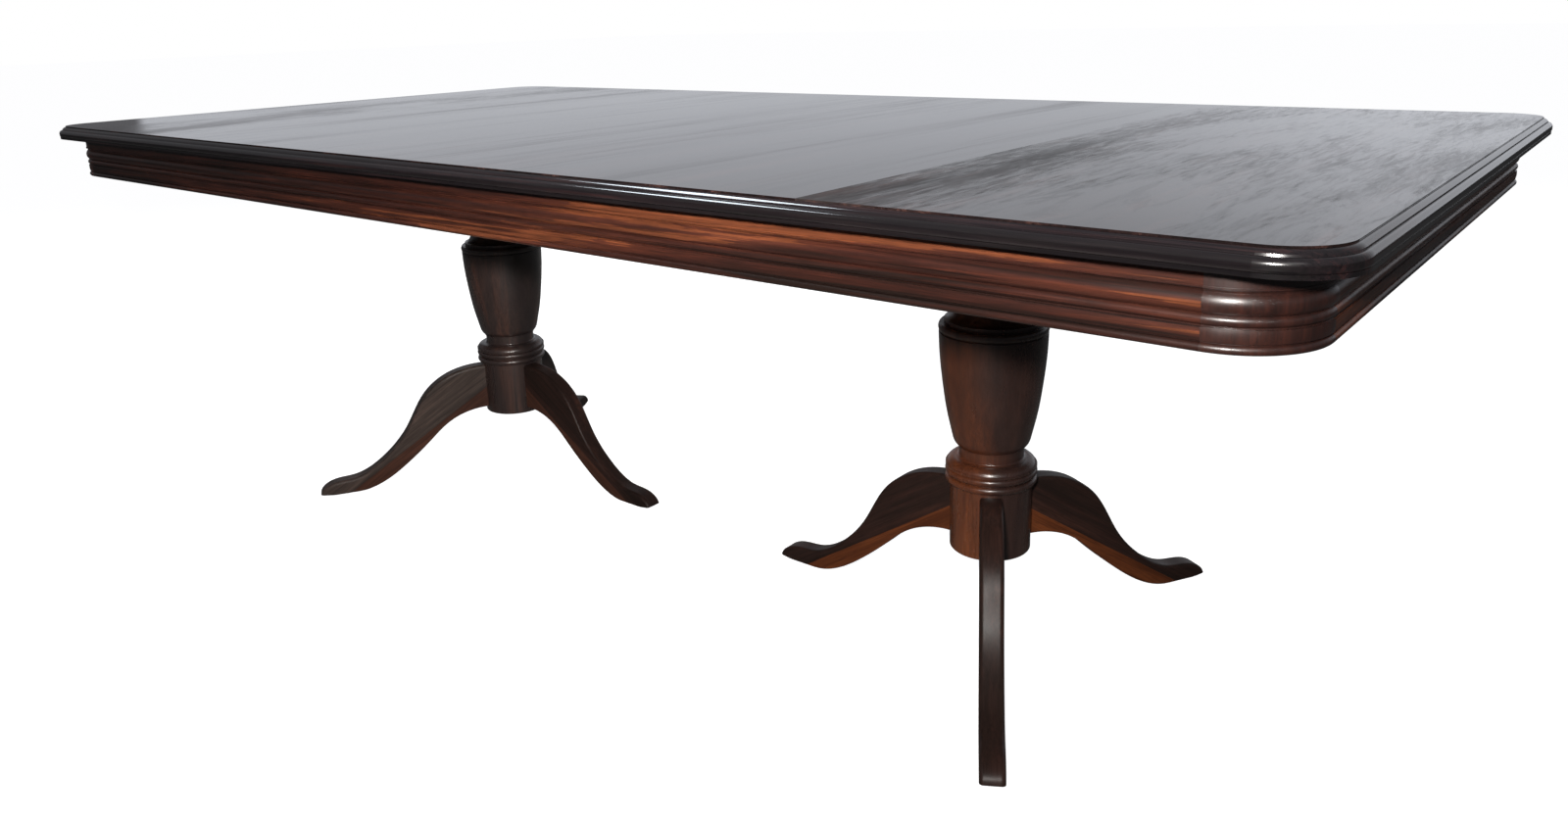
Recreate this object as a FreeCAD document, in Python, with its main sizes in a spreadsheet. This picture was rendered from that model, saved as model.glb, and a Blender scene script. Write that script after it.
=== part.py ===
# A dining table on two turned pedestals, each with three curved legs.
# Lengths are in millimetres. +X runs along the table, +Y away from the near long side, +Z up.
# The origin is on the floor, under the middle of the table top.
import FreeCAD, Part
import math
import os
import re

import Sketcher

doc = FreeCAD.newDocument("dining_table")

# The driving sizes. Each is written once, here, and every formula below uses it by name.
SIZES = {
    # the table as a whole
    "table_long": 2400,
    "table_wide": 1200,
    "table_high": 775,
    "top_thick": 24,
    "corner_round": 70,
    "pedestal_out": 585,
    "joint_gap": 0.2,
    "overrun": 5,
    # the moulded edge of the top, from the field's rim down and outwards
    "edge_wide": 12,
    "edge_riser_high": 2,
    "edge_tread_drop": 3.5,
    "edge_quirk_high": 2,
    "edge_nose_round": 6,
    "edge_nose_tuck": 1.4,
    "edge_tuck_high": 2.6,
    "edge_foot_high": 4,
    "edge_foot_back": 0.7,
    "tongue_long": 10,
    "tongue_thick": 8,
    # the apron's moulded rails and round corner blocks
    "apron_inset": 26,
    "apron_end_inset": 31,
    "apron_high": 72.7,
    "apron_thick": 22,
    "apron_round": 83.5,
    "fascia_back": 2.4,
    "ridge_high": 1.5,
    "ridge_back": 1.4,
    "hollow_high": 3,
    "hollow_back": 4.2,
    "bulge_high": 18.5,
    "bead_high": 9.5,
    "bead_back": 0.8,
    "quirk_high": 1.2,
    "quirk_back": 3.8,
    "band_high": 12,
    "band_back": 2,
    "foot_bead_high": 8.5,
    "dowel_round": 4,
    "dowel_long": 40,
    "dowel_back": 9.5,
    # the bearers under the top and the blocks that carry it on the pedestals
    "bearer_wide": 60,
    "bearer_deep": 42,
    "bearer_spread": 98,
    "tenon_wide": 26,
    "tenon_high": 22,
    "tenon_long": 12,
    "block_margin": 22,
    "block_wide": 240,
    "block_thick": 33,
    "block_bevel": 4,
    "spigot_round": 30,
    # the wooden buttons that hold the top to the apron
    "button_wide": 45,
    "button_long": 34,
    "button_thick": 24,
    "groove_drop": 14,
    "groove_high": 8,
    "groove_deep": 8,
    # the turned columns, from the bottom up
    "floor_clear": 138,
    "cap_thick": 11.5,
    "cap_bevel": 2,
    "drum_round": 62.3,
    "drum_high": 97,
    "bead_round": 70.2,
    "waist_round": 64.6,
    "waist_high": 1.1,
    "column_bead_high": 12,
    "rim_round": 69.8,
    "rim_high": 3.8,
    "ovolo_round": 68.6,
    "ovolo_top_round": 54.5,
    "ovolo_high": 9.4,
    "cove_high": 2.6,
    "neck_round": 49.3,
    "neck_high": 14.6,
    "lip_round": 50.9,
    "lip_high": 1.4,
    "vase_high": 180.4,
    "vase_round": 81.5,
    "notch_back": 1.6,
    "notch_high": 1.2,
    "crown_round": 82.3,
    "crown_high": 12.8,
    "collar_round": 73.5,
    "collar_high": 6.5,
    "throat_round": 53,
    "astragal_round": 61,
    "abacus_round": 79,
    "abacus_high": 30,
    # the legs and the dovetails that hold them in the drum
    "leg_reach": 415,
    "leg_thick": 34.5,
    "leg_root_high": 92.5,
    "leg_edge_round": 6,
    "leg_arris_round": 2,
    "foot_flat_in": 340,
    "foot_flat_out": 385,
    "dovetail_deep": 18,
    "dovetail_neck": 14,
    "dovetail_wide": 20,
    # screws and foot glides
    "screw_round": 2.1,
    "screw_head_round": 4.4,
    "screw_head_high": 3,
    "screw_point_high": 5,
    "bore_round": 5.2,
    "bearer_screw_long": 40,
    "button_screw_long": 32,
    "cap_screw_long": 32,
    "bearer_bore_deep": 16,
    "button_bore_deep": 6,
    "cap_bore_deep": 5,
    "cap_screw_out": 30,
    "coach_round": 4,
    "coach_long": 57,
    "coach_head_round": 7.5,
    "coach_head_high": 5.5,
    "coach_point_high": 8,
    "coach_bore_round": 11,
    "coach_bore_deep": 8,
    "coach_side": 80,
    "glide_round": 10,
    "glide_thick": 2.5,
    "glide_pin_round": 1.5,
    "glide_pin_long": 12,
}

sheet = doc.addObject("Spreadsheet::Sheet", "Sizes")
for row, (alias, value) in enumerate(SIZES.items(), start=1):
    sheet.set(f"A{row}", alias)
    sheet.set(f"B{row}", str(value))
    sheet.setAlias(f"B{row}", alias)
doc.recompute()


# Formulas
def formula(text):
    """The same formula with each size's name led by the name of its sheet."""
    return re.sub(r"[a-z][a-z_]*", lambda word: "Sizes." + word[0] if word[0] in SIZES else word[0], text)


def number(text):
    """What a formula comes to, in millimetres or degrees."""
    return float(sheet.evalExpression(formula(text)))


def bind(thing, name, text):
    """Tie one property of an object to a formula."""
    thing.setExpression(name, formula(text))


def point(x, y):
    return FreeCAD.Vector(number(x), number(y), 0)


# Levels and places that several pieces share
TOP_UNDER = "(table_high - top_thick)"
EDGE_LINE_X = "(table_long / 2 - edge_wide - joint_gap)"
EDGE_LINE_Y = "(table_wide / 2 - edge_wide - joint_gap)"
FIELD_ROUND = "(corner_round - edge_wide - joint_gap)"
JOINT_OUT = "(pedestal_out + bearer_spread)"
PANEL_WIDE = "(2 * " + JOINT_OUT + " / 3)"
APRON_FOOT = "(table_high - top_thick - apron_high)"
APRON_OUT_X = "(table_long / 2 - apron_end_inset)"
APRON_OUT_Y = "(table_wide / 2 - apron_inset)"
RAIL_IN_X = "(table_long / 2 - apron_end_inset - apron_thick)"
RAIL_IN_Y = "(table_wide / 2 - apron_inset - apron_thick)"
RAIL_END_X = "(table_long / 2 - apron_end_inset - apron_round)"
RAIL_END_Y = "(table_wide / 2 - apron_inset - apron_round)"
BEARER_UNDER = "(table_high - top_thick - bearer_deep)"
BLOCK_UNDER = "(table_high - top_thick - bearer_deep - block_thick)"
COLUMN_FOOT = "(floor_clear + cap_thick)"
LEG_TOP = "(floor_clear + cap_thick + leg_root_high)"
BEARERS = {
    "bearer_left_outer": "-" + JOINT_OUT,
    "bearer_left_inner": "(bearer_spread - pedestal_out)",
    "bearer_middle_left": "-" + PANEL_WIDE + " / 2",
    "bearer_middle_right": PANEL_WIDE + " / 2",
    "bearer_right_inner": "(pedestal_out - bearer_spread)",
    "bearer_right_outer": JOINT_OUT,
}
LEGS_EACH = 3
LEG_STEP = 360 / LEGS_EACH

exported = []


# Sketches and features
class Curve:
    """A smooth edge through some places, with the directions in which it starts and ends."""

    def __init__(self, places, start, end):
        self.places = places
        self.start = start
        self.end = end

    def edge(self, first):
        """The edge from a first corner through the curve's own places."""
        spots = [first] + [point(*place) for place in self.places]
        start = FreeCAD.Vector(*self.start, 0).normalize()
        end = FreeCAD.Vector(*self.end, 0).normalize()
        spline = Part.BSplineCurve()
        spline.interpolate(Points=spots, InitialTangent=start, FinalTangent=end, Scale=False)
        return spline


def new_body(label, x="0", y="0", z="0", turn="0"):
    """An empty body that is written out under its label, at a place and turned about +Z."""
    body = doc.addObject("PartDesign::Body", label)
    body.Label = label
    place(body, x, y, z, turn)
    exported.append(body)
    return body


def place(thing, x, y, z, turn):
    upright = FreeCAD.Vector(0, 0, 1)
    thing.Placement = FreeCAD.Placement(FreeCAD.Vector(), FreeCAD.Rotation(upright, number(turn)))
    bind(thing, "Placement.Base.x", x)
    bind(thing, "Placement.Base.y", y)
    bind(thing, "Placement.Base.z", z)
    bind(thing, "Placement.Rotation.Angle", turn)


def new_sketch(body, plane, lift="0"):
    """A sketch on one of the body's own origin planes, lifted along that plane's normal."""
    sketch = body.newObject("Sketcher::SketchObject", body.Name + "_sketch")
    own_plane = [item for item in body.Origin.OriginFeatures if item.Role == plane][0]
    sketch.AttachmentSupport = (own_plane, [""])
    sketch.MapMode = "FlatFace"
    bind(sketch, "AttachmentOffset.Base.z", lift)
    return sketch


def pin_point(rules, ties, geometry, end, x, y):
    """Hold one point of a sketch at a pair of formulas."""
    for text, kind, axis in ((x, "DistanceX", -2), (y, "DistanceY", -1)):
        if text == "0":
            rules.append(Sketcher.Constraint("PointOnObject", geometry, end, axis))
        else:
            ties[len(rules)] = text
            rules.append(Sketcher.Constraint(kind, -1, 1, geometry, end, number(text)))


def draw_outline(sketch, steps):
    """Draw a closed outline. A step is the corner (x, y) that a straight edge ends at, the corner and the middle
    (x, y, middle_x, middle_y) of an arc, or a Curve."""
    corners = [step.places[-1] if isinstance(step, Curve) else step[:2] for step in steps]
    spots = [point(*corner) for corner in corners]
    rules = []
    ties = {}
    edges = []
    for index, step in enumerate(steps):
        start, end = spots[index - 1], spots[index]
        if isinstance(step, Curve):
            edge = sketch.addGeometry(step.edge(start))
            rules.append(Sketcher.Constraint("Block", edge))
        elif len(step) == 4:
            middle = point(*step[2:])
            edge = sketch.addGeometry(Part.Arc(start, middle, end))
            mark = sketch.addGeometry(Part.Point(middle), True)
            pin_point(rules, ties, mark, 1, *step[2:])
            rules.append(Sketcher.Constraint("PointOnObject", mark, 1, edge))
        else:
            edge = sketch.addGeometry(Part.LineSegment(start, end))
        edges.append(edge)

    def end_at(edge, spot):
        """Which end of an edge lies at a spot: an arc's ends can come out swapped."""
        first, second = sketch.getPoint(edge, 1), sketch.getPoint(edge, 2)
        return 1 if (first - spot).Length < (second - spot).Length else 2

    for index, edge in enumerate(edges):
        after = (index + 1) % len(edges)
        spot = spots[index]
        this_end, next_end = end_at(edge, spot), end_at(edges[after], spot)
        rules.append(Sketcher.Constraint("Coincident", edge, this_end, edges[after], next_end))
        if not isinstance(steps[index], Curve) and not isinstance(steps[after], Curve):
            pin_point(rules, ties, edge, this_end, *corners[index])
    tie_down(sketch, rules, ties)


def draw_circles(sketch, places, radius):
    """Draw equal circles at some places."""
    rules = []
    ties = {}
    upright = FreeCAD.Vector(0, 0, 1)
    for x, y in places:
        circle = sketch.addGeometry(Part.Circle(point(x, y), upright, number(radius)))
        pin_point(rules, ties, circle, 3, x, y)
        ties[len(rules)] = radius
        rules.append(Sketcher.Constraint("Radius", circle, number(radius)))
    tie_down(sketch, rules, ties)


def tie_down(sketch, rules, ties):
    """Add the constraints to a sketch and bind their values to formulas."""
    first = sketch.ConstraintCount
    sketch.addConstraint(rules)
    for index, text in ties.items():
        bind(sketch, f"Constraints[{first + index}]", text)


def box_outline(half_x, half_y):
    """The corners of a rectangle about the sketch's origin."""
    return [(half_x, half_y), ("-" + half_x, half_y), ("-" + half_x, "-" + half_y), (half_x, "-" + half_y)]


def pad(body, sketch, length, symmetric=False, reverse=False):
    feature = body.newObject("PartDesign::Pad", body.Name + "_pad")
    feature.Profile = sketch
    feature.SideType = "Symmetric" if symmetric else "One side"
    feature.Reversed = reverse
    bind(feature, "Length", length)
    return feature


def pocket(body, sketch, length, symmetric=False, reverse=False):
    """Cut a sketch's shape out of the body, and make sure that it took wood away."""
    doc.recompute()
    before = body.Shape.Volume
    feature = body.newObject("PartDesign::Pocket", body.Name + "_pocket")
    feature.Profile = sketch
    feature.SideType = "Symmetric" if symmetric else "One side"
    feature.Reversed = reverse
    bind(feature, "Length", length)
    doc.recompute()
    if not body.Shape.Volume < before:
        raise ValueError(f"{feature.Label} cuts nothing")
    return feature


def revolve(body, sketch, angle):
    feature = body.newObject("PartDesign::Revolution", body.Name + "_revolution")
    feature.Profile = sketch
    feature.ReferenceAxis = (sketch, ["V_Axis"])
    feature.Angle = angle
    return feature


def drill(body, places, radius, depth, lift="0", up=True):
    """Bore round holes, upwards or downwards, from a level of the body."""
    sketch = new_sketch(body, "XY_Plane", lift)
    draw_circles(sketch, places, radius)
    return pocket(body, sketch, depth, reverse=up)


def edges_through(shape, spots, slack):
    """The names of the edges that pass within a small slack of some spots."""
    names = []
    for index, edge in enumerate(shape.Edges, start=1):
        if any(edge.distToShape(Part.Vertex(spot))[0] < slack for spot in spots):
            names.append(f"Edge{index}")
    return names


def dress(body, kind, base, names, size, text):
    """Round or bevel some edges of the body."""
    feature = body.newObject(kind, body.Name + "_" + kind.split("::")[1].lower())
    feature.Base = (base, names)
    bind(feature, size, text)
    doc.recompute()
    return feature


def group(label, master, places):
    """Several copies of one small piece, kept together as separate solids under one name."""
    copies = []
    for x, y, z, turn in places:
        copy = doc.addObject("App::Link", label + "_copy")
        copy.LinkedObject = master
        place(copy, x, y, z, turn)
        copies.append(copy)
    whole = doc.addObject("Part::Compound", label)
    whole.Label = label
    whole.Links = copies
    exported.append(whole)
    return whole


def pattern_body(label):
    """A body that is only copied into groups, and isn't written out itself."""
    body = new_body(label)
    exported.remove(body)
    return body


# Screw places, over the whole table
BEARER_SCREW_SIDES = ("-bearer_wide / 3.4", "bearer_wide / 3.4")
BEARER_SCREW_ROW_SHARES = (-0.76, -0.28, 0.28, 0.76)
BUTTON_SCREW_BACK = "(button_long * 0.6)"
SHORT_RAIL_BUTTON_SHARES = (-0.5, 0, 0.5)


def bearer_screw_places():
    """Four screws to each bearer, in a zigzag, so that a bearer under a joint holds both panels."""
    places = []
    for middle in BEARERS.values():
        for index, share in enumerate(BEARER_SCREW_ROW_SHARES):
            side = BEARER_SCREW_SIDES[index % 2]
            places.append((f"{middle} + {side}", f"{RAIL_IN_Y} * {share}"))
    return places


def long_rail_button_places():
    """Halfway between neighbouring bearers, and between the last bearer and the corner."""
    middles = ["0"]
    for sign in ("", "-"):
        middles.append(f"{sign}({PANEL_WIDE} / 2 + pedestal_out - bearer_spread) / 2")
        middles.append(f"{sign}pedestal_out")
        middles.append(f"{sign}({JOINT_OUT} + {RAIL_END_X}) / 2")
    return middles


def button_places():
    """Each button's place against its rail, and the turn that points its tongue into the rail."""
    places = []
    for x in long_rail_button_places():
        places.append((x, f"-{RAIL_IN_Y}", TOP_UNDER, "0"))
        places.append((x, RAIL_IN_Y, TOP_UNDER, "180"))
    for share in SHORT_RAIL_BUTTON_SHARES:
        y = f"{RAIL_END_Y} * {share}"
        places.append((RAIL_IN_X, y, TOP_UNDER, "90"))
        places.append((f"-{RAIL_IN_X}", y, TOP_UNDER, "270"))
    return places


def button_screw_places():
    """The screw in each button stands back from the rail."""
    places = []
    for x, y, _, turn in button_places():
        shift = {
            "0": ("0", BUTTON_SCREW_BACK),
            "90": (f"-{BUTTON_SCREW_BACK}", "0"),
            "180": ("0", f"-{BUTTON_SCREW_BACK}"),
            "270": (BUTTON_SCREW_BACK, "0"),
        }[turn]
        places.append((f"{x} + {shift[0]}", f"{y} + {shift[1]}"))
    return places


# The table top: five panels with crosswise grain, held edge to edge by loose tongues
def rounded_end_outline(joint_x, end_x, half_y, radius):
    """A panel's outline with a straight joint at one end and round corners at the other."""
    turn_in = f"({radius} * (1 - cos(45)))"
    return [
        (joint_x, "-" + half_y),
        (f"{end_x} - {radius}", "-" + half_y),
        (end_x, f"{radius} - {half_y}", f"{end_x} - {turn_in}", f"{turn_in} - {half_y}"),
        (end_x, f"{half_y} - {radius}"),
        (f"{end_x} - {radius}", half_y, f"{end_x} - {turn_in}", f"{half_y} - {turn_in}"),
        (joint_x, half_y),
    ]


def drill_panel(body, middle, half_wide, turned):
    """Pilot holes in a panel's underside, for the screws that come up through bearers and buttons."""
    sign = "-" if turned else ""
    for places, depth in (
        (bearer_screw_places(), "bearer_screw_long - bearer_deep + bearer_bore_deep + joint_gap"),
        (button_screw_places(), "button_screw_long - button_thick + button_bore_deep + joint_gap"),
    ):
        own = []
        for x, y in places:
            if abs(number(x) - number(middle)) < number(half_wide):
                own.append((f"{sign}(({x}) - ({middle}))", f"{sign}({y})"))
        drill(body, own, "screw_round + joint_gap / 2", depth)


def middle_panel(label, middle):
    body = new_body(label, x=middle, z=TOP_UNDER)
    half_wide = f"({PANEL_WIDE} / 2)"
    sketch = new_sketch(body, "XY_Plane")
    draw_outline(sketch, box_outline(half_wide, EDGE_LINE_Y))
    pad(body, sketch, "top_thick")
    groove = new_sketch(body, "XY_Plane", "top_thick / 2")
    draw_outline(groove, box_outline(f"({half_wide} + overrun)", f"({EDGE_LINE_Y} + overrun)"))
    draw_outline(groove, box_outline(f"({half_wide} - tongue_long)", f"({EDGE_LINE_Y} - tongue_long)"))
    pocket(body, groove, "tongue_thick + 2 * joint_gap", symmetric=True)
    drill_panel(body, middle, half_wide, turned=False)


def end_panel(label, side):
    """The panel at the +X end, or the same one turned round for the -X end."""
    sign = "-" if side == "left" else ""
    half_wide = f"(({EDGE_LINE_X} - {JOINT_OUT}) / 2)"
    middle = f"({EDGE_LINE_X} + {JOINT_OUT}) / 2"
    turn = "180" if side == "left" else "0"
    body = new_body(label, x=f"{sign}({middle})", z=TOP_UNDER, turn=turn)
    sketch = new_sketch(body, "XY_Plane")
    draw_outline(sketch, rounded_end_outline("-" + half_wide, half_wide, EDGE_LINE_Y, FIELD_ROUND))
    pad(body, sketch, "top_thick")
    groove = new_sketch(body, "XY_Plane", "top_thick / 2")
    draw_outline(groove, box_outline(f"({half_wide} + overrun)", f"({EDGE_LINE_Y} + overrun)"))
    draw_outline(
        groove,
        rounded_end_outline(
            f"(tongue_long - {half_wide})",
            f"({half_wide} - tongue_long)",
            f"({EDGE_LINE_Y} - tongue_long)",
            f"({FIELD_ROUND} - tongue_long)",
        ),
    )
    pocket(body, groove, "tongue_thick + 2 * joint_gap", symmetric=True)
    drill_panel(body, f"{sign}({middle})", half_wide, turned=side == "left")


end_panel("top_panel_left_end", "left")
middle_panel("top_panel_left", f"-{PANEL_WIDE}")
middle_panel("top_panel_middle", "0")
middle_panel("top_panel_right", PANEL_WIDE)
end_panel("top_panel_right_end", "right")

tongue = doc.addObject("Part::Box", "loose_tongue")
bind(tongue, "Length", "2 * tongue_long - 2 * joint_gap")
bind(tongue, "Width", "table_wide - 2 * edge_wide - 2 * tongue_long - 2 * joint_gap")
bind(tongue, "Height", "tongue_thick")
bind(tongue, "Placement.Base.x", "joint_gap - tongue_long")
bind(tongue, "Placement.Base.y", "edge_wide + tongue_long + joint_gap - table_wide / 2")
bind(tongue, "Placement.Base.z", "(top_thick - tongue_thick) / 2")
tongue_places = []
for factor in ("-1.5", "-0.5", "0.5", "1.5"):
    tongue_places.append((f"{factor} * {PANEL_WIDE}", "0", TOP_UNDER, "0"))
tongue_holder = doc.addObject("Part::Compound", "loose_tongue_holder")
tongue_holder.Links = [tongue]
group("top_loose_tongues", tongue_holder, tongue_places)


# The moulded edge: four straight lengths and four round corners, tongued into the panels
def edge_profile(outer):
    """The moulding's section. outer gives the place across for a distance in from the outer face."""
    riser = "(top_thick - edge_riser_high)"
    tread = f"({riser} - edge_tread_drop)"
    quirk = f"({tread} - edge_quirk_high)"
    tread_in = "(edge_nose_round + (edge_wide - edge_nose_round) * 0.08)"
    tread_middle = f"((edge_wide + {tread_in}) / 2)"
    nose_in = "(edge_nose_round * (1 - cos(45)))"
    nose_low = "(edge_foot_high + edge_tuck_high)"
    tongue_low = "((top_thick - tongue_thick) / 2)"
    tongue_high = "((top_thick + tongue_thick) / 2)"
    return [
        (outer("edge_wide"), "0"),
        (outer("edge_foot_back"), "0"),
        (outer("edge_foot_back"), "edge_foot_high"),
        (outer("edge_nose_tuck"), "edge_foot_high"),
        (outer("0"), nose_low, outer("edge_nose_tuck * 0.25"), "edge_foot_high + edge_tuck_high * 0.55"),
        (outer("0"), f"{quirk} - edge_nose_round"),
        (outer("edge_nose_round"), quirk, outer(nose_in), f"{quirk} - {nose_in}"),
        (outer(tread_in), tread),
        (outer("edge_wide"), riser, outer(tread_middle), f"{tread} + edge_tread_drop * 0.72"),
        (outer("edge_wide"), tongue_high),
        (outer("edge_wide + tongue_long"), tongue_high),
        (outer("edge_wide + tongue_long"), tongue_low),
        (outer("edge_wide"), tongue_low),
    ]


def edge_length(label, x, y, length, turn):
    body = new_body(label, x=x, y=y, z=TOP_UNDER, turn=turn)
    sketch = new_sketch(body, "YZ_Plane")
    draw_outline(sketch, edge_profile(lambda depth: depth))
    pad(body, sketch, length, symmetric=True)


def edge_corner(label, x, y, turn):
    body = new_body(label, x=x, y=y, z=TOP_UNDER, turn=turn)
    sketch = new_sketch(body, "XZ_Plane")
    draw_outline(sketch, edge_profile(lambda depth: f"corner_round - ({depth})"))
    revolve(body, sketch, 90)


LONG_EDGE = "table_long - 2 * corner_round"
SHORT_EDGE = "table_wide - 2 * corner_round"
CORNER_X = "(table_long / 2 - corner_round)"
CORNER_Y = "(table_wide / 2 - corner_round)"
edge_length("edge_moulding_front", "0", "-table_wide / 2", LONG_EDGE, "0")
edge_length("edge_moulding_back", "0", "table_wide / 2", LONG_EDGE, "180")
edge_length("edge_moulding_right", "table_long / 2", "0", SHORT_EDGE, "90")
edge_length("edge_moulding_left", "-table_long / 2", "0", SHORT_EDGE, "270")
edge_corner("edge_corner_back_right", CORNER_X, CORNER_Y, "0")
edge_corner("edge_corner_back_left", f"-{CORNER_X}", CORNER_Y, "90")
edge_corner("edge_corner_front_left", f"-{CORNER_X}", f"-{CORNER_Y}", "180")
edge_corner("edge_corner_front_right", CORNER_X, f"-{CORNER_Y}", "270")


# The apron: moulded rails between solid round corner blocks, joined by dowels
def apron_face(outer):
    """The moulded face from the bottom edge up, ending at the top edge of the fascia."""
    foot_bead = "foot_bead_high"
    band = f"({foot_bead} + quirk_high)"
    band_top = f"({band} + band_high)"
    bead = f"({band_top} + quirk_high)"
    bead_top = f"({bead} + bead_high)"
    bulge_top = f"({bead_top} + bulge_high)"
    ridge = f"({bulge_top} + hollow_high)"
    fascia = f"({ridge} + ridge_high)"
    return [
        (outer("quirk_back"), "0"),
        (outer("quirk_back"), foot_bead, outer("0"), "foot_bead_high / 2"),
        (outer("quirk_back"), band),
        (outer("band_back"), band),
        (outer("ridge_back"), band_top, outer("ridge_back * 0.8"), f"{band} + band_high / 2"),
        (outer("quirk_back"), band_top),
        (outer("quirk_back"), bead),
        (outer("quirk_back"), bead_top, outer("bead_back"), f"{bead} + bead_high / 2"),
        (outer("hollow_back"), bead_top),
        (outer("hollow_back"), bulge_top, outer("0"), f"{bead_top} + bulge_high / 2"),
        (outer("ridge_back"), ridge, outer("hollow_back * 0.8"), f"{bulge_top} + hollow_high * 0.6"),
        (outer("ridge_back"), fascia),
        (outer("fascia_back"), fascia),
        (outer("fascia_back"), "apron_high"),
    ]


def apron_rail(label, x, y, length, turn, mortises):
    body = new_body(label, x=x, y=y, z=APRON_FOOT, turn=turn)
    sketch = new_sketch(body, "YZ_Plane")
    groove_top = "(apron_high - groove_drop)"
    back = [
        ("apron_thick", "apron_high"),
        ("apron_thick", groove_top),
        ("apron_thick - groove_deep", groove_top),
        ("apron_thick - groove_deep", f"{groove_top} - groove_high"),
        ("apron_thick", f"{groove_top} - groove_high"),
        ("apron_thick", "0"),
    ]
    draw_outline(sketch, apron_face(lambda depth: depth) + back)
    pad(body, sketch, length, symmetric=True)
    for side in ("", "-"):
        holes = new_sketch(body, "YZ_Plane", f"{side}{length} / 2")
        draw_circles(holes, DOWEL_ROW, "dowel_round + joint_gap / 2")
        pocket(body, holes, DOWEL_HOLE_DEEP, reverse=side == "-")
    for middle in mortises:
        mortise = new_sketch(body, "XZ_Plane", "-apron_thick")
        draw_outline(mortise, tenon_outline(middle, "apron_high - bearer_deep / 2", "joint_gap"))
        pocket(body, mortise, "tenon_long", reverse=True)


def tenon_outline(middle_x, middle_z, slack):
    """A tenon's section, or its mortise's with some slack all round."""
    half_x = f"(tenon_wide / 2 + {slack})"
    half_z = f"(tenon_high / 2 + {slack})"
    return [
        (f"{middle_x} + {half_x}", f"{middle_z} + {half_z}"),
        (f"{middle_x} - {half_x}", f"{middle_z} + {half_z}"),
        (f"{middle_x} - {half_x}", f"{middle_z} - {half_z}"),
        (f"{middle_x} + {half_x}", f"{middle_z} - {half_z}"),
    ]


def apron_corner(label, x, y, turn):
    """A solid quarter of a round post. Its two flat faces meet the ends of the rails."""
    body = new_body(label, x=x, y=y, z=APRON_FOOT, turn=turn)
    sketch = new_sketch(body, "XZ_Plane")
    face = apron_face(lambda depth: f"apron_round - ({depth})")
    draw_outline(sketch, face + [("0", "apron_high"), ("0", "0")])
    revolve(body, sketch, 90)
    flat_rows = {
        "XZ_Plane": [(f"apron_round - {back}", height) for back, height in DOWEL_ROW],
        "YZ_Plane": [(f"apron_round - {back}", height) for back, height in DOWEL_ROW],
    }
    for plane, row in flat_rows.items():
        holes = new_sketch(body, plane)
        draw_circles(holes, row, "dowel_round + joint_gap / 2")
        pocket(body, holes, DOWEL_HOLE_DEEP, reverse=plane == "YZ_Plane")


DOWEL_ROW = [("dowel_back", "apron_high * 0.22"), ("dowel_back", "apron_high * 0.55")]
DOWEL_HOLE_DEEP = "dowel_long / 2 + joint_gap"
LONG_RAIL = f"(2 * {RAIL_END_X})"
SHORT_RAIL = f"(2 * {RAIL_END_Y})"
apron_rail("apron_rail_front", "0", f"-{APRON_OUT_Y}", LONG_RAIL, "0", BEARERS.values())
apron_rail("apron_rail_back", "0", APRON_OUT_Y, LONG_RAIL, "180", BEARERS.values())
apron_rail("apron_rail_right", APRON_OUT_X, "0", SHORT_RAIL, "90", [])
apron_rail("apron_rail_left", f"-{APRON_OUT_X}", "0", SHORT_RAIL, "270", [])
apron_corner("apron_corner_back_right", RAIL_END_X, RAIL_END_Y, "0")
apron_corner("apron_corner_back_left", f"-{RAIL_END_X}", RAIL_END_Y, "90")
apron_corner("apron_corner_front_left", f"-{RAIL_END_X}", f"-{RAIL_END_Y}", "180")
apron_corner("apron_corner_front_right", RAIL_END_X, f"-{RAIL_END_Y}", "270")

dowel = pattern_body("dowel")
dowel_end = new_sketch(dowel, "YZ_Plane")
draw_circles(dowel_end, [("0", "0")], "dowel_round")
pad(dowel, dowel_end, "dowel_long", symmetric=True)
dowel_places = []
for _, height in DOWEL_ROW:
    level = f"{APRON_FOOT} + {height}"
    for sign_x in ("", "-"):
        for sign_y in ("", "-"):
            near_x, near_y = f"{sign_x}{RAIL_END_X}", f"{sign_y}{RAIL_END_Y}"
            dowel_places.append((near_x, f"{sign_y}({APRON_OUT_Y} - dowel_back)", level, "0"))
            dowel_places.append((f"{sign_x}({APRON_OUT_X} - dowel_back)", near_y, level, "90"))
group("apron_dowels", dowel, dowel_places)


# The bearers: crosswise battens under the top, tenoned into the long rails
def bearer(label, middle):
    body = new_body(label, x=middle, z=BEARER_UNDER)
    batten = new_sketch(body, "XZ_Plane")
    draw_outline(
        batten,
        [
            ("bearer_wide / 2", "bearer_deep"),
            ("-bearer_wide / 2", "bearer_deep"),
            ("-bearer_wide / 2", "0"),
            ("bearer_wide / 2", "0"),
        ],
    )
    pad(body, batten, f"2 * {RAIL_IN_Y}", symmetric=True)
    tenons = new_sketch(body, "XZ_Plane")
    draw_outline(tenons, tenon_outline("0", "bearer_deep / 2", "0"))
    pad(body, tenons, f"2 * ({RAIL_IN_Y} + tenon_long - joint_gap)", symmetric=True)
    own = []
    for x, y in bearer_screw_places():
        if abs(number(x) - number(middle)) < number("bearer_wide / 2"):
            own.append((f"({x}) - ({middle})", y))
    drill(body, own, "screw_round + joint_gap / 2", "bearer_deep")
    drill(body, own, "bore_round", "bearer_bore_deep")
    if "middle" not in label:
        pilots = [("0", "coach_side"), ("0", "-coach_side")]
        drill(body, pilots, "coach_round + joint_gap / 2", f"{COACH_IN_BEARER} + joint_gap")


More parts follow.
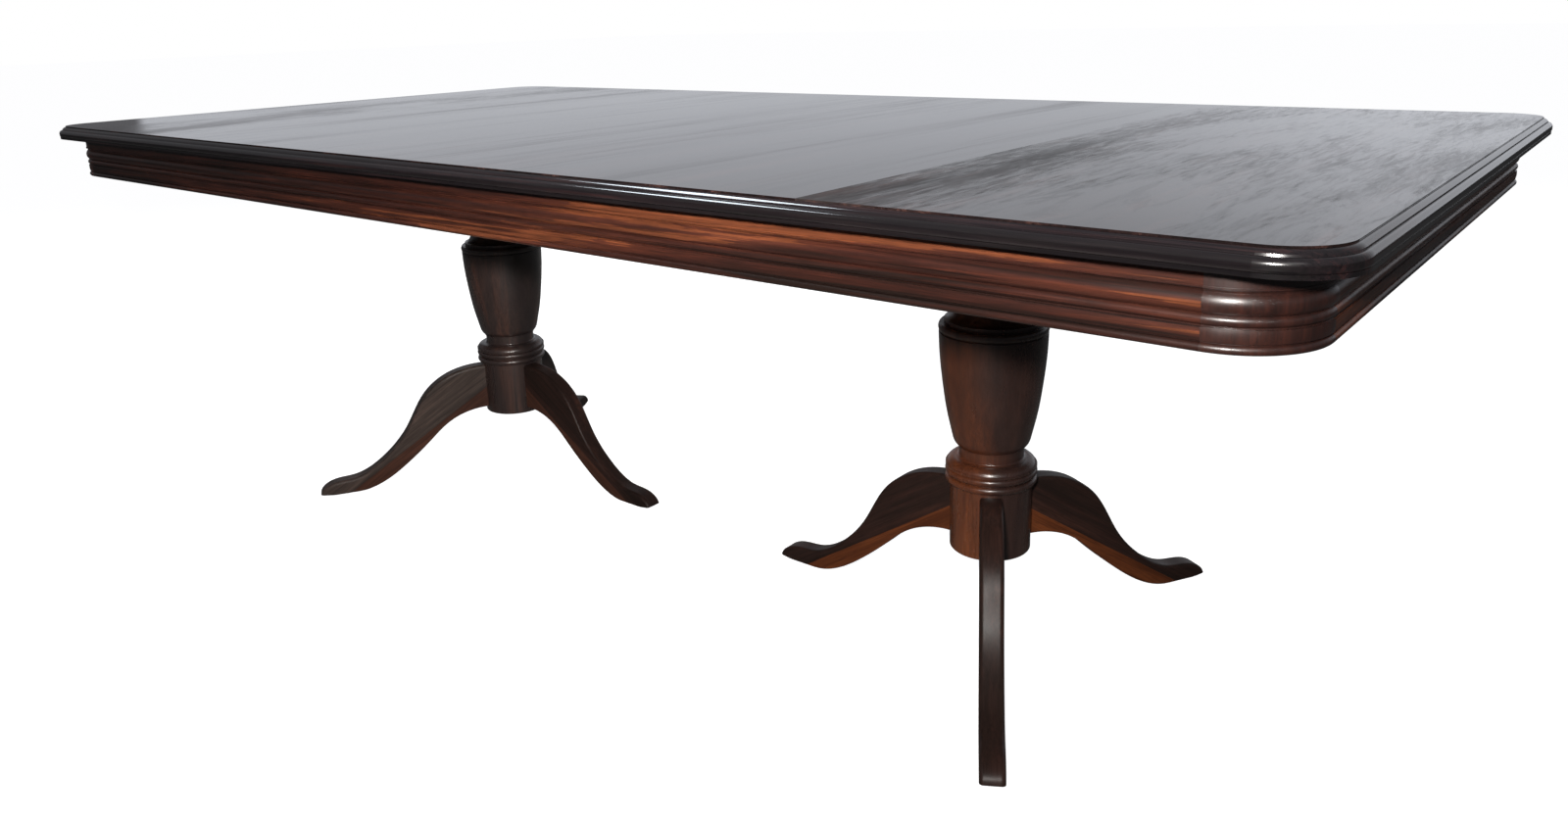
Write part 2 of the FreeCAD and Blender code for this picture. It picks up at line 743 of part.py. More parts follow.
COACH_IN_BEARER = "(coach_long - block_thick + coach_bore_deep)"
for bearer_label, bearer_x in BEARERS.items():
    bearer(bearer_label, bearer_x)


# The pedestal blocks: each is screwed up to its two bearers and takes the spigot of its column
def pedestal_block(label, x):
    body = new_body(label, x=x, z=BLOCK_UNDER)
    sketch = new_sketch(body, "XY_Plane")
    draw_outline(sketch, box_outline("(bearer_spread + bearer_wide / 2 + block_margin)", "(block_wide / 2)"))
    board = pad(body, sketch, "block_thick")
    doc.recompute()
    level = [
        f"Edge{index}"
        for index, edge in enumerate(board.Shape.Edges, start=1)
        if edge.BoundBox.ZMax < edge.BoundBox.ZMin + number("overrun") and edge.CenterOfMass.z < number("overrun")
    ]
    dress(body, "PartDesign::Chamfer", board, level, "Size", "block_bevel")
    drill(body, [("0", "0")], "spigot_round + joint_gap", "block_thick")
    corners = [(f"{a}bearer_spread", f"{b}coach_side") for a in ("", "-") for b in ("", "-")]
    drill(body, corners, "coach_round + joint_gap / 2", "block_thick")
    drill(body, corners, "coach_bore_round", "coach_bore_deep")


pedestal_block("pedestal_block_left", "-pedestal_out")
pedestal_block("pedestal_block_right", "pedestal_out")


# The columns: one turning each, with a drum below for the legs and a spigot above for the block
VASE_SHARES = [(0.692, 0.035), (0.742, 0.102), (0.831, 0.28), (0.9215, 0.545), (0.982, 0.81), (1, 1)]
COVE_SHARES = (0.25, 0.3)
THROAT_SHARES = (0.2, 0.4)
ASTRAGAL_SHARES = (0.46, 0.58)
CAPITAL_SHARE = 0.66


def column_profile():
    """Half of the turning's outline, as radius and height over the foot of the column."""
    low_bead = "(drum_high + waist_high)"
    low_bead_top = f"({low_bead} + column_bead_high)"
    high_bead = f"({low_bead_top} + waist_high)"
    high_bead_top = f"({high_bead} + column_bead_high)"
    rim = f"({high_bead_top} + waist_high)"
    rim_top = f"({rim} + rim_high)"
    ovolo_top = f"({rim_top} + ovolo_high)"
    cove_top = f"({ovolo_top} + cove_high)"
    lip = f"({cove_top} + neck_high)"
    vase = f"({lip} + lip_high)"
    notch = f"({vase} + vase_high)"
    crown = f"({notch} + notch_high)"
    collar = f"({crown} + crown_high)"
    shoulder = f"({collar} + collar_high)"
    top = f"({BLOCK_UNDER} - {COLUMN_FOOT})"
    rest = f"({top} - abacus_high - {shoulder})"
    astragal, astragal_top = (f"({shoulder} + {rest} * {share})" for share in ASTRAGAL_SHARES)
    vase_places = [(f"vase_round * {r}", f"{vase} + vase_high * {z}") for r, z in VASE_SHARES]
    cove_in, cove_up = COVE_SHARES
    diagonal = "cos(45)"
    return [
        ("0", "0"),
        ("drum_round", "0"),
        ("drum_round", "drum_high"),
        ("waist_round", "drum_high"),
        ("waist_round", low_bead),
        ("waist_round", low_bead_top, "bead_round", f"{low_bead} + column_bead_high / 2"),
        ("waist_round", high_bead),
        ("waist_round", high_bead_top, "bead_round", f"{high_bead} + column_bead_high / 2"),
        ("waist_round", rim),
        ("rim_round", rim),
        ("rim_round", rim_top),
        ("ovolo_round", rim_top),
        (
            "ovolo_top_round",
            ovolo_top,
            f"ovolo_top_round + (ovolo_round - ovolo_top_round) * {diagonal}",
            f"{rim_top} + ovolo_high * {diagonal}",
        ),
        Curve(
            [
                (f"neck_round + (ovolo_top_round - neck_round) * {cove_in}", f"{ovolo_top} + cove_high * {cove_up}"),
                ("neck_round", cove_top),
            ],
            (-1, 0.12),
            (0, 1),
        ),
        ("neck_round", lip),
        ("lip_round", lip),
        ("lip_round", vase),
        Curve(vase_places, (1, 1), (0.02, 1)),
        ("vase_round - notch_back", notch),
        ("vase_round - notch_back", crown),
        ("vase_round - notch_back", collar, "crown_round", f"{crown} + crown_high / 2"),
        ("collar_round", collar),
        ("collar_round", shoulder),
        Curve(
            [
                ("throat_round * 1.07", f"{shoulder} + {rest} * {THROAT_SHARES[0]}"),
                ("throat_round", f"{shoulder} + {rest} * {THROAT_SHARES[1]}"),
            ],
            (-1, 0.1),
            (0, 1),
        ),
        ("throat_round", astragal),
        ("throat_round", astragal_top, "astragal_round", f"({astragal} + {astragal_top}) / 2"),
        Curve(
            [
                ("throat_round * 1.1", f"{shoulder} + {rest} * {CAPITAL_SHARE + 0.14}"),
                ("abacus_round - waist_high", f"{shoulder} + {rest}"),
            ],
            (0, 1),
            (1, 0.5),
        ),
        ("abacus_round", f"{shoulder} + {rest}"),
        ("abacus_round", top),
        ("spigot_round", top),
        ("spigot_round", f"{top} + block_thick - joint_gap"),
        ("0", f"{top} + block_thick - joint_gap"),
    ]


def column(label, x, turn):
    body = new_body(label, x=x, z=COLUMN_FOOT, turn=turn)
    sketch = new_sketch(body, "XZ_Plane")
    draw_outline(sketch, column_profile())
    revolve(body, sketch, 360)
    housing = new_sketch(body, "XY_Plane")
    inner = "(drum_round - dovetail_deep)"
    neck = "(dovetail_neck / 2 + joint_gap)"
    wide = "(dovetail_wide / 2 + joint_gap)"
    draw_outline(
        housing,
        [
            (inner, wide),
            (inner, f"-{wide}"),
            ("drum_round", f"-{neck}"),
            ("bead_round + overrun", f"-{neck}"),
            ("bead_round + overrun", neck),
            ("drum_round", neck),
        ],
    )
    slot = pocket(body, housing, "leg_root_high + joint_gap", reverse=True)
    ring = body.newObject("PartDesign::PolarPattern", label + "_housings")
    ring.Originals = [slot]
    ring.Axis = ([item for item in body.Origin.OriginFeatures if item.Role == "Z_Axis"][0], [""])
    ring.Angle = 360
    ring.Occurrences = LEGS_EACH
    body.Tip = ring
    drill(body, cap_screw_row(), "screw_round + joint_gap / 2", f"{CAP_SCREW_IN_COLUMN} + joint_gap")


CAP_SCREW_IN_COLUMN = "(cap_screw_long - cap_thick + cap_bore_deep)"


def cap_screw_row():
    """Screw places in the solid wood between the housings, as seen from the column's own axis."""
    row = []
    for index in range(LEGS_EACH):
        angle = LEG_STEP * (index + 0.5)
        row.append((f"cap_screw_out * cos({angle})", f"cap_screw_out * sin({angle})"))
    return row


def cap(label, x, turn):
    """The turned disc that closes the lower ends of the leg housings."""
    body = new_body(label, x=x, z="floor_clear", turn=turn)
    sketch = new_sketch(body, "XZ_Plane")
    draw_outline(
        sketch,
        [
            ("0", "0"),
            ("drum_round - cap_bevel", "0"),
            ("drum_round", "cap_bevel", "drum_round - cap_bevel * (1 - cos(45))", "cap_bevel * (1 - cos(45))"),
            ("drum_round", "cap_thick"),
            ("0", "cap_thick"),
        ],
    )
    revolve(body, sketch, 360)
    drill(body, cap_screw_row(), "screw_round + joint_gap / 2", "cap_thick")
    drill(body, cap_screw_row(), "bore_round", "cap_bore_deep")


PEDESTALS = {"left": ("-pedestal_out", "0"), "right": ("pedestal_out", "180")}
for side, (pedestal_x, pedestal_turn) in PEDESTALS.items():
    column(f"column_{side}", pedestal_x, pedestal_turn)
for side, (pedestal_x, pedestal_turn) in PEDESTALS.items():
    cap(f"column_cap_{side}", pedestal_x, pedestal_turn)

# The legs: sawn S curves with rounded upper edges, each slid up into the drum on a dovetail.
# A leg is sawn from two boards glued edge to edge, so a straight line runs from its root to its foot.
# The shares give places along the leg, of its span from drum to toe, and of the height of its root's top.
UPPER_SHARES = [
    (0.206, 0.948),
    (0.356, 0.791),
    (0.481, 0.496),
    (0.626, 0.2686),
    (0.8015, 0.136),
    (0.9405, 0.1065),
]
LOWER_SHARES = [(0.6456, 0.062), (0.4868, 0.2107), (0.3592, 0.3657), (0.226, 0.527)]
TOE_HIGH_SHARE = 0.028
SEAM_ROOT_SHARE = 0.797
SEAM_TOE_SHARE = 0.8345


def along(share):
    """A place along the leg, as a distance from the column's axis."""
    return f"(drum_round + (leg_reach - drum_round) * {share})"


def leg_outline():
    inner = "(drum_round - dovetail_deep + joint_gap)"
    upper = [(along(r), f"{LEG_TOP} * {z}") for r, z in UPPER_SHARES]
    upper.append(("leg_reach", f"{LEG_TOP} * {TOE_HIGH_SHARE}"))
    lower = [(along(r), f"{LEG_TOP} * {z}") for r, z in LOWER_SHARES]
    lower.append(("drum_round", COLUMN_FOOT))
    return [
        (inner, COLUMN_FOOT),
        (inner, LEG_TOP),
        ("drum_round", LEG_TOP),
        Curve(upper, (1, 0), (0.3, -1)),
        ("foot_flat_out", "glide_thick"),
        ("foot_flat_in", "glide_thick"),
        Curve(lower, (-1, 0), (-1, 0)),
    ]


def shoulder_outline(sign):
    """The waste beside the dovetail, seen from above: an arc fits the leg's shoulder to the drum."""
    inner = "(drum_round - dovetail_deep + joint_gap)"
    scribe = "(drum_round + joint_gap)"
    outside = "(leg_thick / 2 + overrun)"
    neck = "(dovetail_neck / 2)"
    middle = f"(({outside} + {neck}) / 2)"
    return [
        (f"{inner} - overrun", f"{sign}{outside}"),
        (f"sqrt({scribe}^2 - {outside}^2)", f"{sign}{outside}"),
        (
            f"sqrt({scribe}^2 - {neck}^2)",
            f"{sign}{neck}",
            f"sqrt({scribe}^2 - {middle}^2)",
            f"{sign}{middle}",
        ),
        (inner, f"{sign}dovetail_wide / 2"),
        (f"{inner} - overrun", f"{sign}dovetail_wide / 2"),
    ]


def seam_high(r):
    """How high the glue line between a leg's two boards lies at some distance from the column's axis."""
    root_high = f"({LEG_TOP} * {SEAM_ROOT_SHARE})"
    toe = along(SEAM_TOE_SHARE)
    return f"({root_high} - ({root_high} - glide_thick) * (({r}) - drum_round) / ({toe} - drum_round))"


def board_waste(waste_level):
    """All that lies between the glue line and a level above or below the whole leg."""
    inner = "(drum_round - dovetail_deep - overrun)"
    outer = "(leg_reach + overrun)"
    return [
        (inner, seam_high(inner)),
        (inner, waste_level),
        (outer, waste_level),
        (outer, seam_high(outer)),
    ]


def leg_board(label, x, turn, waste_level):
    """One of a leg's two boards: the whole leg's shape, less what lies past the glue line."""
    body = new_body(label, x=x, turn=turn)
    sketch = new_sketch(body, "XZ_Plane")
    draw_outline(sketch, leg_outline())
    board = pad(body, sketch, "leg_thick", symmetric=True)
    doc.recompute()
    half = number("leg_thick / 2")
    slack = number("joint_gap") / 4

    def spots(share, high_share):
        return [
            FreeCAD.Vector(number(along(share)), side, number(f"{LEG_TOP} * {high_share}")) for side in (half, -half)
        ]

    knees = edges_through(board.Shape, spots(*UPPER_SHARES[1]), slack)
    rounded = dress(body, "PartDesign::Fillet", board, knees, "Radius", "leg_edge_round")
    ankles = edges_through(rounded.Shape, spots(*LOWER_SHARES[1]), slack)
    dress(body, "PartDesign::Fillet", rounded, ankles, "Radius", "leg_arris_round")
    for sign in ("", "-"):
        waste = new_sketch(body, "XY_Plane")
        draw_outline(waste, shoulder_outline(sign))
        pocket(body, waste, f"{LEG_TOP} + overrun", reverse=True)
    foot_middle = [("(foot_flat_in + foot_flat_out) / 2", "0")]
    drill(body, foot_middle, "glide_pin_round + joint_gap / 2", "glide_thick + glide_pin_long + joint_gap")
    other_board = new_sketch(body, "XZ_Plane")
    draw_outline(other_board, board_waste(waste_level))
    pocket(body, other_board, "leg_thick + 2 * overrun", symmetric=True)


LEG_NAMES = {
    "left": {"centre": "0", "back": "120", "front": "240"},
    "right": {"centre": "180", "front": "300", "back": "60"},
}
LEG_BOARDS = {"upper": f"-{LEG_TOP}", "lower": f"({LEG_TOP} + overrun)"}
for side, (pedestal_x, _) in PEDESTALS.items():
    for leg_name, leg_turn in LEG_NAMES[side].items():
        for board_name, waste_side in LEG_BOARDS.items():
            leg_board(f"leg_{side}_{leg_name}_{board_name}", pedestal_x, leg_turn, waste_side)


# Screws, buttons and glides
def round_screw(label, radius, length, head_round, head_high, point_high):
    """A wood screw that points up, with the face under its head at its own zero."""
    body = pattern_body(label)
    sketch = new_sketch(body, "XZ_Plane")
    draw_outline(
        sketch,
        [
            ("0", f"-{head_high}"),
            (f"{head_round} * 0.8", f"-{head_high}"),
            (head_round, f"-{head_high} * 0.4"),
            (head_round, "0"),
            (radius, "0"),
            (radius, f"{length} - {point_high}"),
            ("0", length),
        ],
    )
    revolve(body, sketch, 360)
    return body


def wood_screw(label, length):
    return round_screw(label, "screw_round", length, "screw_head_round", "screw_head_high", "screw_point_high")


bearer_screw = wood_screw("bearer_screw", "bearer_screw_long")
button_screw = wood_screw("button_screw", "button_screw_long")
cap_screw = wood_screw("cap_screw", "cap_screw_long")

coach_screw = pattern_body("coach_screw")
coach_head = new_sketch(coach_screw, "XY_Plane")
HEXAGON = [(f"coach_head_round * cos({60 * n})", f"coach_head_round * sin({60 * n})") for n in range(6)]
draw_outline(coach_head, HEXAGON)
pad(coach_screw, coach_head, "coach_head_high", reverse=True)
coach_shank = new_sketch(coach_screw, "XZ_Plane")
draw_outline(
    coach_shank,
    [
        ("0", "-coach_head_high / 2"),
        ("coach_round", "-coach_head_high / 2"),
        ("coach_round", "coach_long - coach_point_high"),
        ("0", "coach_long"),
    ],
)
revolve(coach_screw, coach_shank, 360)

bearer_head_level = f"{BEARER_UNDER} + bearer_bore_deep"
group("bearer_screws", bearer_screw, [(x, y, bearer_head_level, "0") for x, y in bearer_screw_places()])

button_head_level = f"{TOP_UNDER} - button_thick + button_bore_deep"
group("button_screws", button_screw, [(x, y, button_head_level, "0") for x, y in button_screw_places()])

cap_screw_places = []
for sign, (pedestal_x, _) in zip(("", "-"), PEDESTALS.values()):
    for out_x, out_y in cap_screw_row():
        cap_screw_places.append((f"{pedestal_x} + {sign}({out_x})", out_y, "floor_clear + cap_bore_deep", "0"))
group("cap_screws", cap_screw, cap_screw_places)

coach_places = []
for pedestal_x, _ in PEDESTALS.values():
    for sign_x in ("", "-"):
        for sign_y in ("", "-"):
            spot = (f"{pedestal_x} + {sign_x}bearer_spread", f"{sign_y}coach_side")
            coach_places.append((*spot, f"{BLOCK_UNDER} + coach_bore_deep", "0"))
group("coach_screws", coach_screw, coach_places)

button = pattern_body("button")
button_side = new_sketch(button, "YZ_Plane")
tongue_top = "(groove_drop + joint_gap)"
tongue_foot = "(groove_drop + groove_high - joint_gap)"
draw_outline(
    button_side,
    [
        ("joint_gap", "0"),
        ("button_long", "0"),
        ("button_long", "-button_thick"),
        ("joint_gap", "-button_thick"),
        ("joint_gap", f"-{tongue_foot}"),
        ("joint_gap - groove_deep", f"-{tongue_foot}"),
        ("joint_gap - groove_deep", f"-{tongue_top}"),
        ("joint_gap", f"-{tongue_top}"),
    ],
)
pad(button, button_side, "button_wide", symmetric=True)
screw_spot = [("0", BUTTON_SCREW_BACK)]
drill(button, screw_spot, "screw_round + joint_gap / 2", "button_thick", lift="-button_thick")
drill(button, screw_spot, "bore_round", "button_bore_deep", lift="-button_thick")
group("top_buttons", button, button_places())

glide = pattern_body("glide")
glide_side = new_sketch(glide, "XZ_Plane")
draw_outline(
    glide_side,
    [
        ("0", "0"),
        ("glide_round", "0"),
        ("glide_round", "glide_thick"),
        ("glide_pin_round", "glide_thick"),
        ("glide_pin_round", "glide_thick + glide_pin_long"),
        ("0", "glide_thick + glide_pin_long"),
    ],
)
revolve(glide, glide_side, 360)
FOOT_OUT = "((foot_flat_in + foot_flat_out) / 2)"
glide_places = []
for side, (pedestal_x, _) in PEDESTALS.items():
    for leg_turn in LEG_NAMES[side].values():
        out_x, out_y = f"{FOOT_OUT} * cos({leg_turn})", f"{FOOT_OUT} * sin({leg_turn})"
        glide_places.append((f"{pedestal_x} + {out_x}", out_y, "0", leg_turn))
group("foot_glides", glide, glide_places)

# Nothing is written until every object is sound
doc.recompute()
for item in doc.Objects:
    if "Invalid" in item.State or "Error" in item.State:
        raise ValueError(f"{item.Label} did not compute: {item.State}")
for item in exported:
    if item.Shape.isNull() or not item.Shape.isValid():
        raise ValueError(f"{item.Label} has no sound shape")

os.makedirs("parts", exist_ok=True)
for item in exported:
    item.Shape.exportStep(f"parts/{item.Label}.step")
    solids = item.Shape.Solids
    volume = sum(solid.Volume for solid in solids) / 1e3
    print(f"{item.Label}: {len(solids)} solid(s), {volume:.1f} cm3")
print(f"{len(exported)} nodes")
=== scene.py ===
# %% [markdown]
# # A long dining table on two pedestals
# The table's construction comes ready made from the frame: five top panels with a moulded edge, a moulded
# apron, two turned columns and six curved legs, each piece at its real size and in its place. This lesson
# gives every piece its finish. The wood is dark, streaked and lacquered to a high gloss, and most of its
# character lies in how the grain runs. So the plan is one wood recipe, turned to follow each piece, with
# colours for each part of the table. We begin by loading the frame.

# %% Load the frame
import math

import bpy
from mathutils import Matrix, Vector

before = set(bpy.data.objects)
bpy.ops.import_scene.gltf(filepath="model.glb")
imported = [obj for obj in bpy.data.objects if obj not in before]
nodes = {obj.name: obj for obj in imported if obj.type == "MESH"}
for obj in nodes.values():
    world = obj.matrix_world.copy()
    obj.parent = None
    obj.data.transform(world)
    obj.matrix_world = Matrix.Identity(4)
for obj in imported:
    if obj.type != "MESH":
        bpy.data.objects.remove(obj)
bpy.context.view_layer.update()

# %% [markdown]
# ## The camera
# A photograph of a table is easiest to match with the camera solved first, while nothing else can mislead
# the eye. The camera stands near the right front corner, a little under a metre above the floor, and looks
# along the table. Its place and tilt were worked out from the straight edges of the top and the apron,
# which all run to the vanishing points of a box with the table's known length and width. The picture is
# cropped, so the lens doesn't point at its exact middle, and a small shift stands for that.

# %% Set up the camera
IMAGE_WIDTH = 1600
IMAGE_HEIGHT = 838
SENSOR_WIDTH = 36
CAMERA_PLACE = Vector((1.3906, -1.4700, 0.9546))
CAMERA_TURN = math.radians(38.96)
CAMERA_TILT = math.radians(-15.01)
CAMERA_ROLL = math.radians(-1.62)
FOCAL_PIXELS = 1171.9
LENS_CENTRE_PIXEL = (809.8, 325.4)

camera_data = bpy.data.cameras.new("photo_camera")
camera_data.sensor_width = SENSOR_WIDTH
camera_data.lens = FOCAL_PIXELS / IMAGE_WIDTH * SENSOR_WIDTH
camera_data.shift_x = (IMAGE_WIDTH / 2 - LENS_CENTRE_PIXEL[0]) / IMAGE_WIDTH
camera_data.shift_y = (LENS_CENTRE_PIXEL[1] - IMAGE_HEIGHT / 2) / IMAGE_WIDTH
camera = bpy.data.objects.new("photo_camera", camera_data)
camera.matrix_world = (
    Matrix.Translation(CAMERA_PLACE)
    @ Matrix.Rotation(CAMERA_TURN, 4, "Z")
    @ Matrix.Rotation(math.pi / 2 + CAMERA_TILT, 4, "X")
    @ Matrix.Rotation(CAMERA_ROLL, 4, "Z")
)
scene = bpy.context.scene
scene.collection.objects.link(camera)
scene.camera = camera
print(f"lens {camera_data.lens:.1f} mm, shift {camera_data.shift_x:.4f}, {camera_data.shift_y:.4f}")

# %% [markdown]
# ## Nodes without the tedium
# Every finish below is a small graph of shader nodes. Building one by hand means three steps for each node:
# make it, set its options, and join its sockets. The first helper does all three in one call: an input
# given another node's output is linked, and anything else is typed into the socket. The others put names
# to what the finishes need most, which are sums, stretched numbers, noise, colour ramps and mixes.

# %% Add any node
def add(tree, kind, inputs=None, **options):
    """Add a node to a graph. Inputs are numbers, colours or the outputs of other nodes."""
    node = tree.nodes.new(kind)
    for name, value in options.items():
        setattr(node, name, value)
    for name, value in (inputs or {}).items():
        if isinstance(value, bpy.types.NodeSocket):
            tree.links.new(value, node.inputs[name])
        else:
            node.inputs[name].default_value = value
    return node


print("any node in one call")


# %% Work with numbers
def maths(tree, how, first, second=0.0, third=0.0):
    """One sum on two numbers, or on three."""
    return add(tree, "ShaderNodeMath", {0: first, 1: second, 2: third}, operation=how).outputs[0]


def levels(tree, factor, low, high, bottom=0.0, top=1.0):
    """Stretch a number: low becomes bottom, high becomes top, and nothing goes past either."""
    inputs = {"Value": factor, "From Min": low, "From Max": high, "To Min": bottom, "To Max": top}
    return add(tree, "ShaderNodeMapRange", inputs, interpolation_type="SMOOTHSTEP").outputs["Result"]


def noise(tree, place, scale, detail=4.0, roughness=0.55, distortion=0.0):
    """Cloudy noise, as a number around a half."""
    inputs = {
        "Vector": place,
        "Scale": scale,
        "Detail": detail,
        "Roughness": roughness,
        "Distortion": distortion,
    }
    return add(tree, "ShaderNodeTexNoise", inputs).outputs["Fac"]


print("sums, levels and noise")


# %% Work with colours
def darker(colour, share):
    """A colour with only a share of its light."""
    return tuple(share * part for part in colour)


def ramp(tree, factor, stops):
    """Colours along a number: each stop is its place and its colour."""
    node = add(tree, "ShaderNodeValToRGB", {"Fac": factor})
    while len(node.color_ramp.elements) < len(stops):
        node.color_ramp.elements.new(0.5)
    for element, (place, colour) in zip(node.color_ramp.elements, stops):
        element.position = place
        element.color = (*colour, 1.0)
    return node.outputs["Color"]


def blend(tree, factor, first, second, how="MIX"):
    """Mix two colours."""
    node = add(tree, "ShaderNodeMix", data_type="RGBA", blend_type=how)
    for index, value in ((0, factor), (6, first), (7, second)):
        if isinstance(value, bpy.types.NodeSocket):
            tree.links.new(value, node.inputs[index])
        else:
            node.inputs[index].default_value = value if index == 0 else (*value, 1.0)
    return node.outputs[2]


print("ramps and mixes")

# %% [markdown]
# ## The wood
# Wood could be painted with an image, but an image needs unwrapping and repeats. A solid texture is cut
# through like real timber instead: the pattern fills space and each piece shows its own slice. The trick is
# in the coordinates. We turn them until the grain runs along X, then squeeze X, so that round blobs of
# noise become long streaks.

# %% Turn the coordinates along the grain
def grain_space(tree, axes, offset):
    """Coordinates in metres with X along the grain. Each board's offset slices a new stretch of timber."""
    place = add(tree, "ShaderNodeTexCoord").outputs["Object"]
    inputs = {"Vector": place, "Rotation": axes.to_euler(), "Location": offset}
    return add(tree, "ShaderNodeMapping", inputs, vector_type="POINT").outputs["Vector"]


def streaks(tree, space, per_metre, detail=4.0, roughness=0.55, distortion=0.0):
    """Noise drawn out along the grain. per_metre is the number of streaks along it and across it."""
    along, across = per_metre
    squeeze = (along, across, across)
    squeezed = add(tree, "ShaderNodeVectorMath", {0: space, 1: squeeze}, operation="MULTIPLY")
    return noise(tree, squeezed.outputs["Vector"], 1.0, detail, roughness, distortion)


def stretch(index, step):
    """The offset of one board in a set, each cut from a new stretch of timber."""
    return tuple(index * part for part in step)


ALONG_X = Matrix.Identity(3)
ALONG_Y = Matrix.Rotation(-math.pi / 2, 3, "Z")
UPRIGHT = Matrix.Rotation(math.pi / 2, 3, "Y")
print("grain runs along X, Y or Z, or along a leg")

# %% [markdown]
# ## Places on the table
# Some finishes change from one place to another: at a glue joint, or at the height where a board gets
# paler. The shader can read the place of each point, and we can read the frame for how far a piece reaches,
# so such a change lands on the real edge of a piece instead of on a guessed number.

# %% Measure in the shader and in the frame
X, Y, Z = range(3)


def measure(tree, axis):
    """The place of a point of the surface along an axis, in metres."""
    place = add(tree, "ShaderNodeTexCoord").outputs["Object"]
    return add(tree, "ShaderNodeSeparateXYZ", {0: place}).outputs[axis]


def reach(name, axis):
    """The lowest and the highest place of a piece along an axis, in metres."""
    places = [corner[axis] for corner in nodes[name].bound_box]
    return min(places), max(places)


UNDERSIDE = reach("top_panel_middle", Z)[0]
END_JOINT = reach("top_panel_right_end", X)[0]
RIGHT_AXIS = sum(reach("column_right", X)) / 2
print(f"the panels' underside is at {UNDERSIDE:.3f} m, the last joint at {END_JOINT:.3f} m along X")
print(f"the right column stands at {RIGHT_AXIS:.3f} m along X")

# %% [markdown]
# ## The marks of the wood
# Look at the real apron and you can count four sizes of mark before the pores: broad bands of dark and
# orange wood, narrower streaks inside them, a fine ribbon figure that comes and goes, and thin black lines.
# Each is one streaky noise. The first two are added and choose a colour, from the board's darkest tone to
# its palest, and the other two darken it. Noise hovers around a half, so the tones are spread evenly round
# the middle of the sum. A mark's range, here and below, says between which two values of its noise it comes
# up or fades.

# %% Colour a board
BAND_SPREAD = 0.2
STREAK_SPREAD = 0.16
STREAK_FINENESS = (2.6, 5.5)
STREAK_WANDER = 0.6
LINE_FINENESS = (1.7, 11)
LINE_RANGE = (0.58, 0.7)
LINE_LIGHT = 0.4
RIBBONS_PER_METRE = (9, 150)
RIBBON_RANGE = (0.34, 0.66)
RIBBON_SHADE = 0.5


def finer(bands, fineness):
    """Marks that are finer than the bands, by one number along the grain and one across it."""
    return tuple(band * times for band, times in zip(bands, fineness))


def tone_stops(tones, contrast):
    """The tones with their places on the colour ramp, spread over all that bands and streaks add up to."""
    middle = 0.5 + contrast / 2
    spread = BAND_SPREAD + contrast * STREAK_SPREAD
    last = len(tones) - 1
    return [(middle + spread * (2 * step / last - 1), tone) for step, tone in enumerate(tones)]


def wood_colour(tree, space, tones, bands, wander, contrast, line_strength, lean=0.0):
    """The colour of a board. tones run from its darkest to its palest, bands are the broad bands to a metre,
    and contrast is the share of the streaks beside them. lean makes the board paler, or darker where it is
    below zero."""
    band = streaks(tree, space, bands, detail=3.0, distortion=wander)
    per_metre = finer(bands, STREAK_FINENESS)
    streak = streaks(tree, space, per_metre, roughness=0.6, distortion=wander * STREAK_WANDER)
    choice = maths(tree, "ADD", maths(tree, "MULTIPLY_ADD", streak, contrast, band), lean)
    colour = ramp(tree, choice, tone_stops(tones, contrast))
    ribbon = streaks(tree, space, RIBBONS_PER_METRE, detail=5.0, roughness=0.72, distortion=wander)
    colour = blend(tree, levels(tree, ribbon, *RIBBON_RANGE, RIBBON_SHADE, 0.0), colour, tones[0])
    line = streaks(tree, space, finer(bands, LINE_FINENESS), detail=2.0, distortion=wander)
    black = levels(tree, line, *LINE_RANGE, 0.0, line_strength)
    return blend(tree, black, colour, darker(tones[0], LINE_LIGHT))


print("bands, streaks, ribbons and lines")

# %% [markdown]
# ## Fibres and pores
# From a hand's breadth away the wood also shows fibres, and open pores finer than a hair. Both are streaky
# noise again, only much finer. They darken the colour, and they also dent the wood by a fraction of a
# millimetre. That is far too fine for real geometry, so the same two noises are handed on for a bump.

# %% Open the pores
FIBRES_PER_METRE = (14, 620)
FIBRE_RANGE = (0.3, 0.72)
FIBRE_SHADE = 0.42
FIBRE_LIGHT = 0.5
FIBRE_DENT = 0.4
PORES_PER_METRE = (40, 1700)
PORE_RANGE = (0.6, 0.72)
PORE_SHADE = 0.55
PORE_BLACK = (0.004, 0.003, 0.003)


def open_pores(tree, space, colour, darkest):
    """Darken a board's colour by its fibres and pores. Gives the new colour, and the depth of both."""
    fibre = streaks(tree, space, FIBRES_PER_METRE, detail=3.0, roughness=0.65)
    fibrous = levels(tree, fibre, *FIBRE_RANGE, 0.0, FIBRE_SHADE)
    colour = blend(tree, fibrous, colour, darker(darkest, FIBRE_LIGHT))
    pore = levels(tree, streaks(tree, space, PORES_PER_METRE, detail=2.0), *PORE_RANGE)
    colour = blend(tree, maths(tree, "MULTIPLY", pore, PORE_SHADE), colour, PORE_BLACK)
    return colour, blend(tree, FIBRE_DENT, pore, fibre)


print(f"{PORES_PER_METRE[1]} pores to a metre across the grain")

# %% [markdown]
# ## Boards glued side by side
# A thick piece is glued up from several boards, and once it is polished only a change of colour gives the
# joint away. A hard line would look like a stripe of paint, so the change is blurred over a few centimetres
# and follows a slow wave.

# %% Glue up two boards
GLUE_WAVES_PER_METRE = (5, 30)
GLUE_WAVE = 0.03
GLUE_BLUR = 0.045


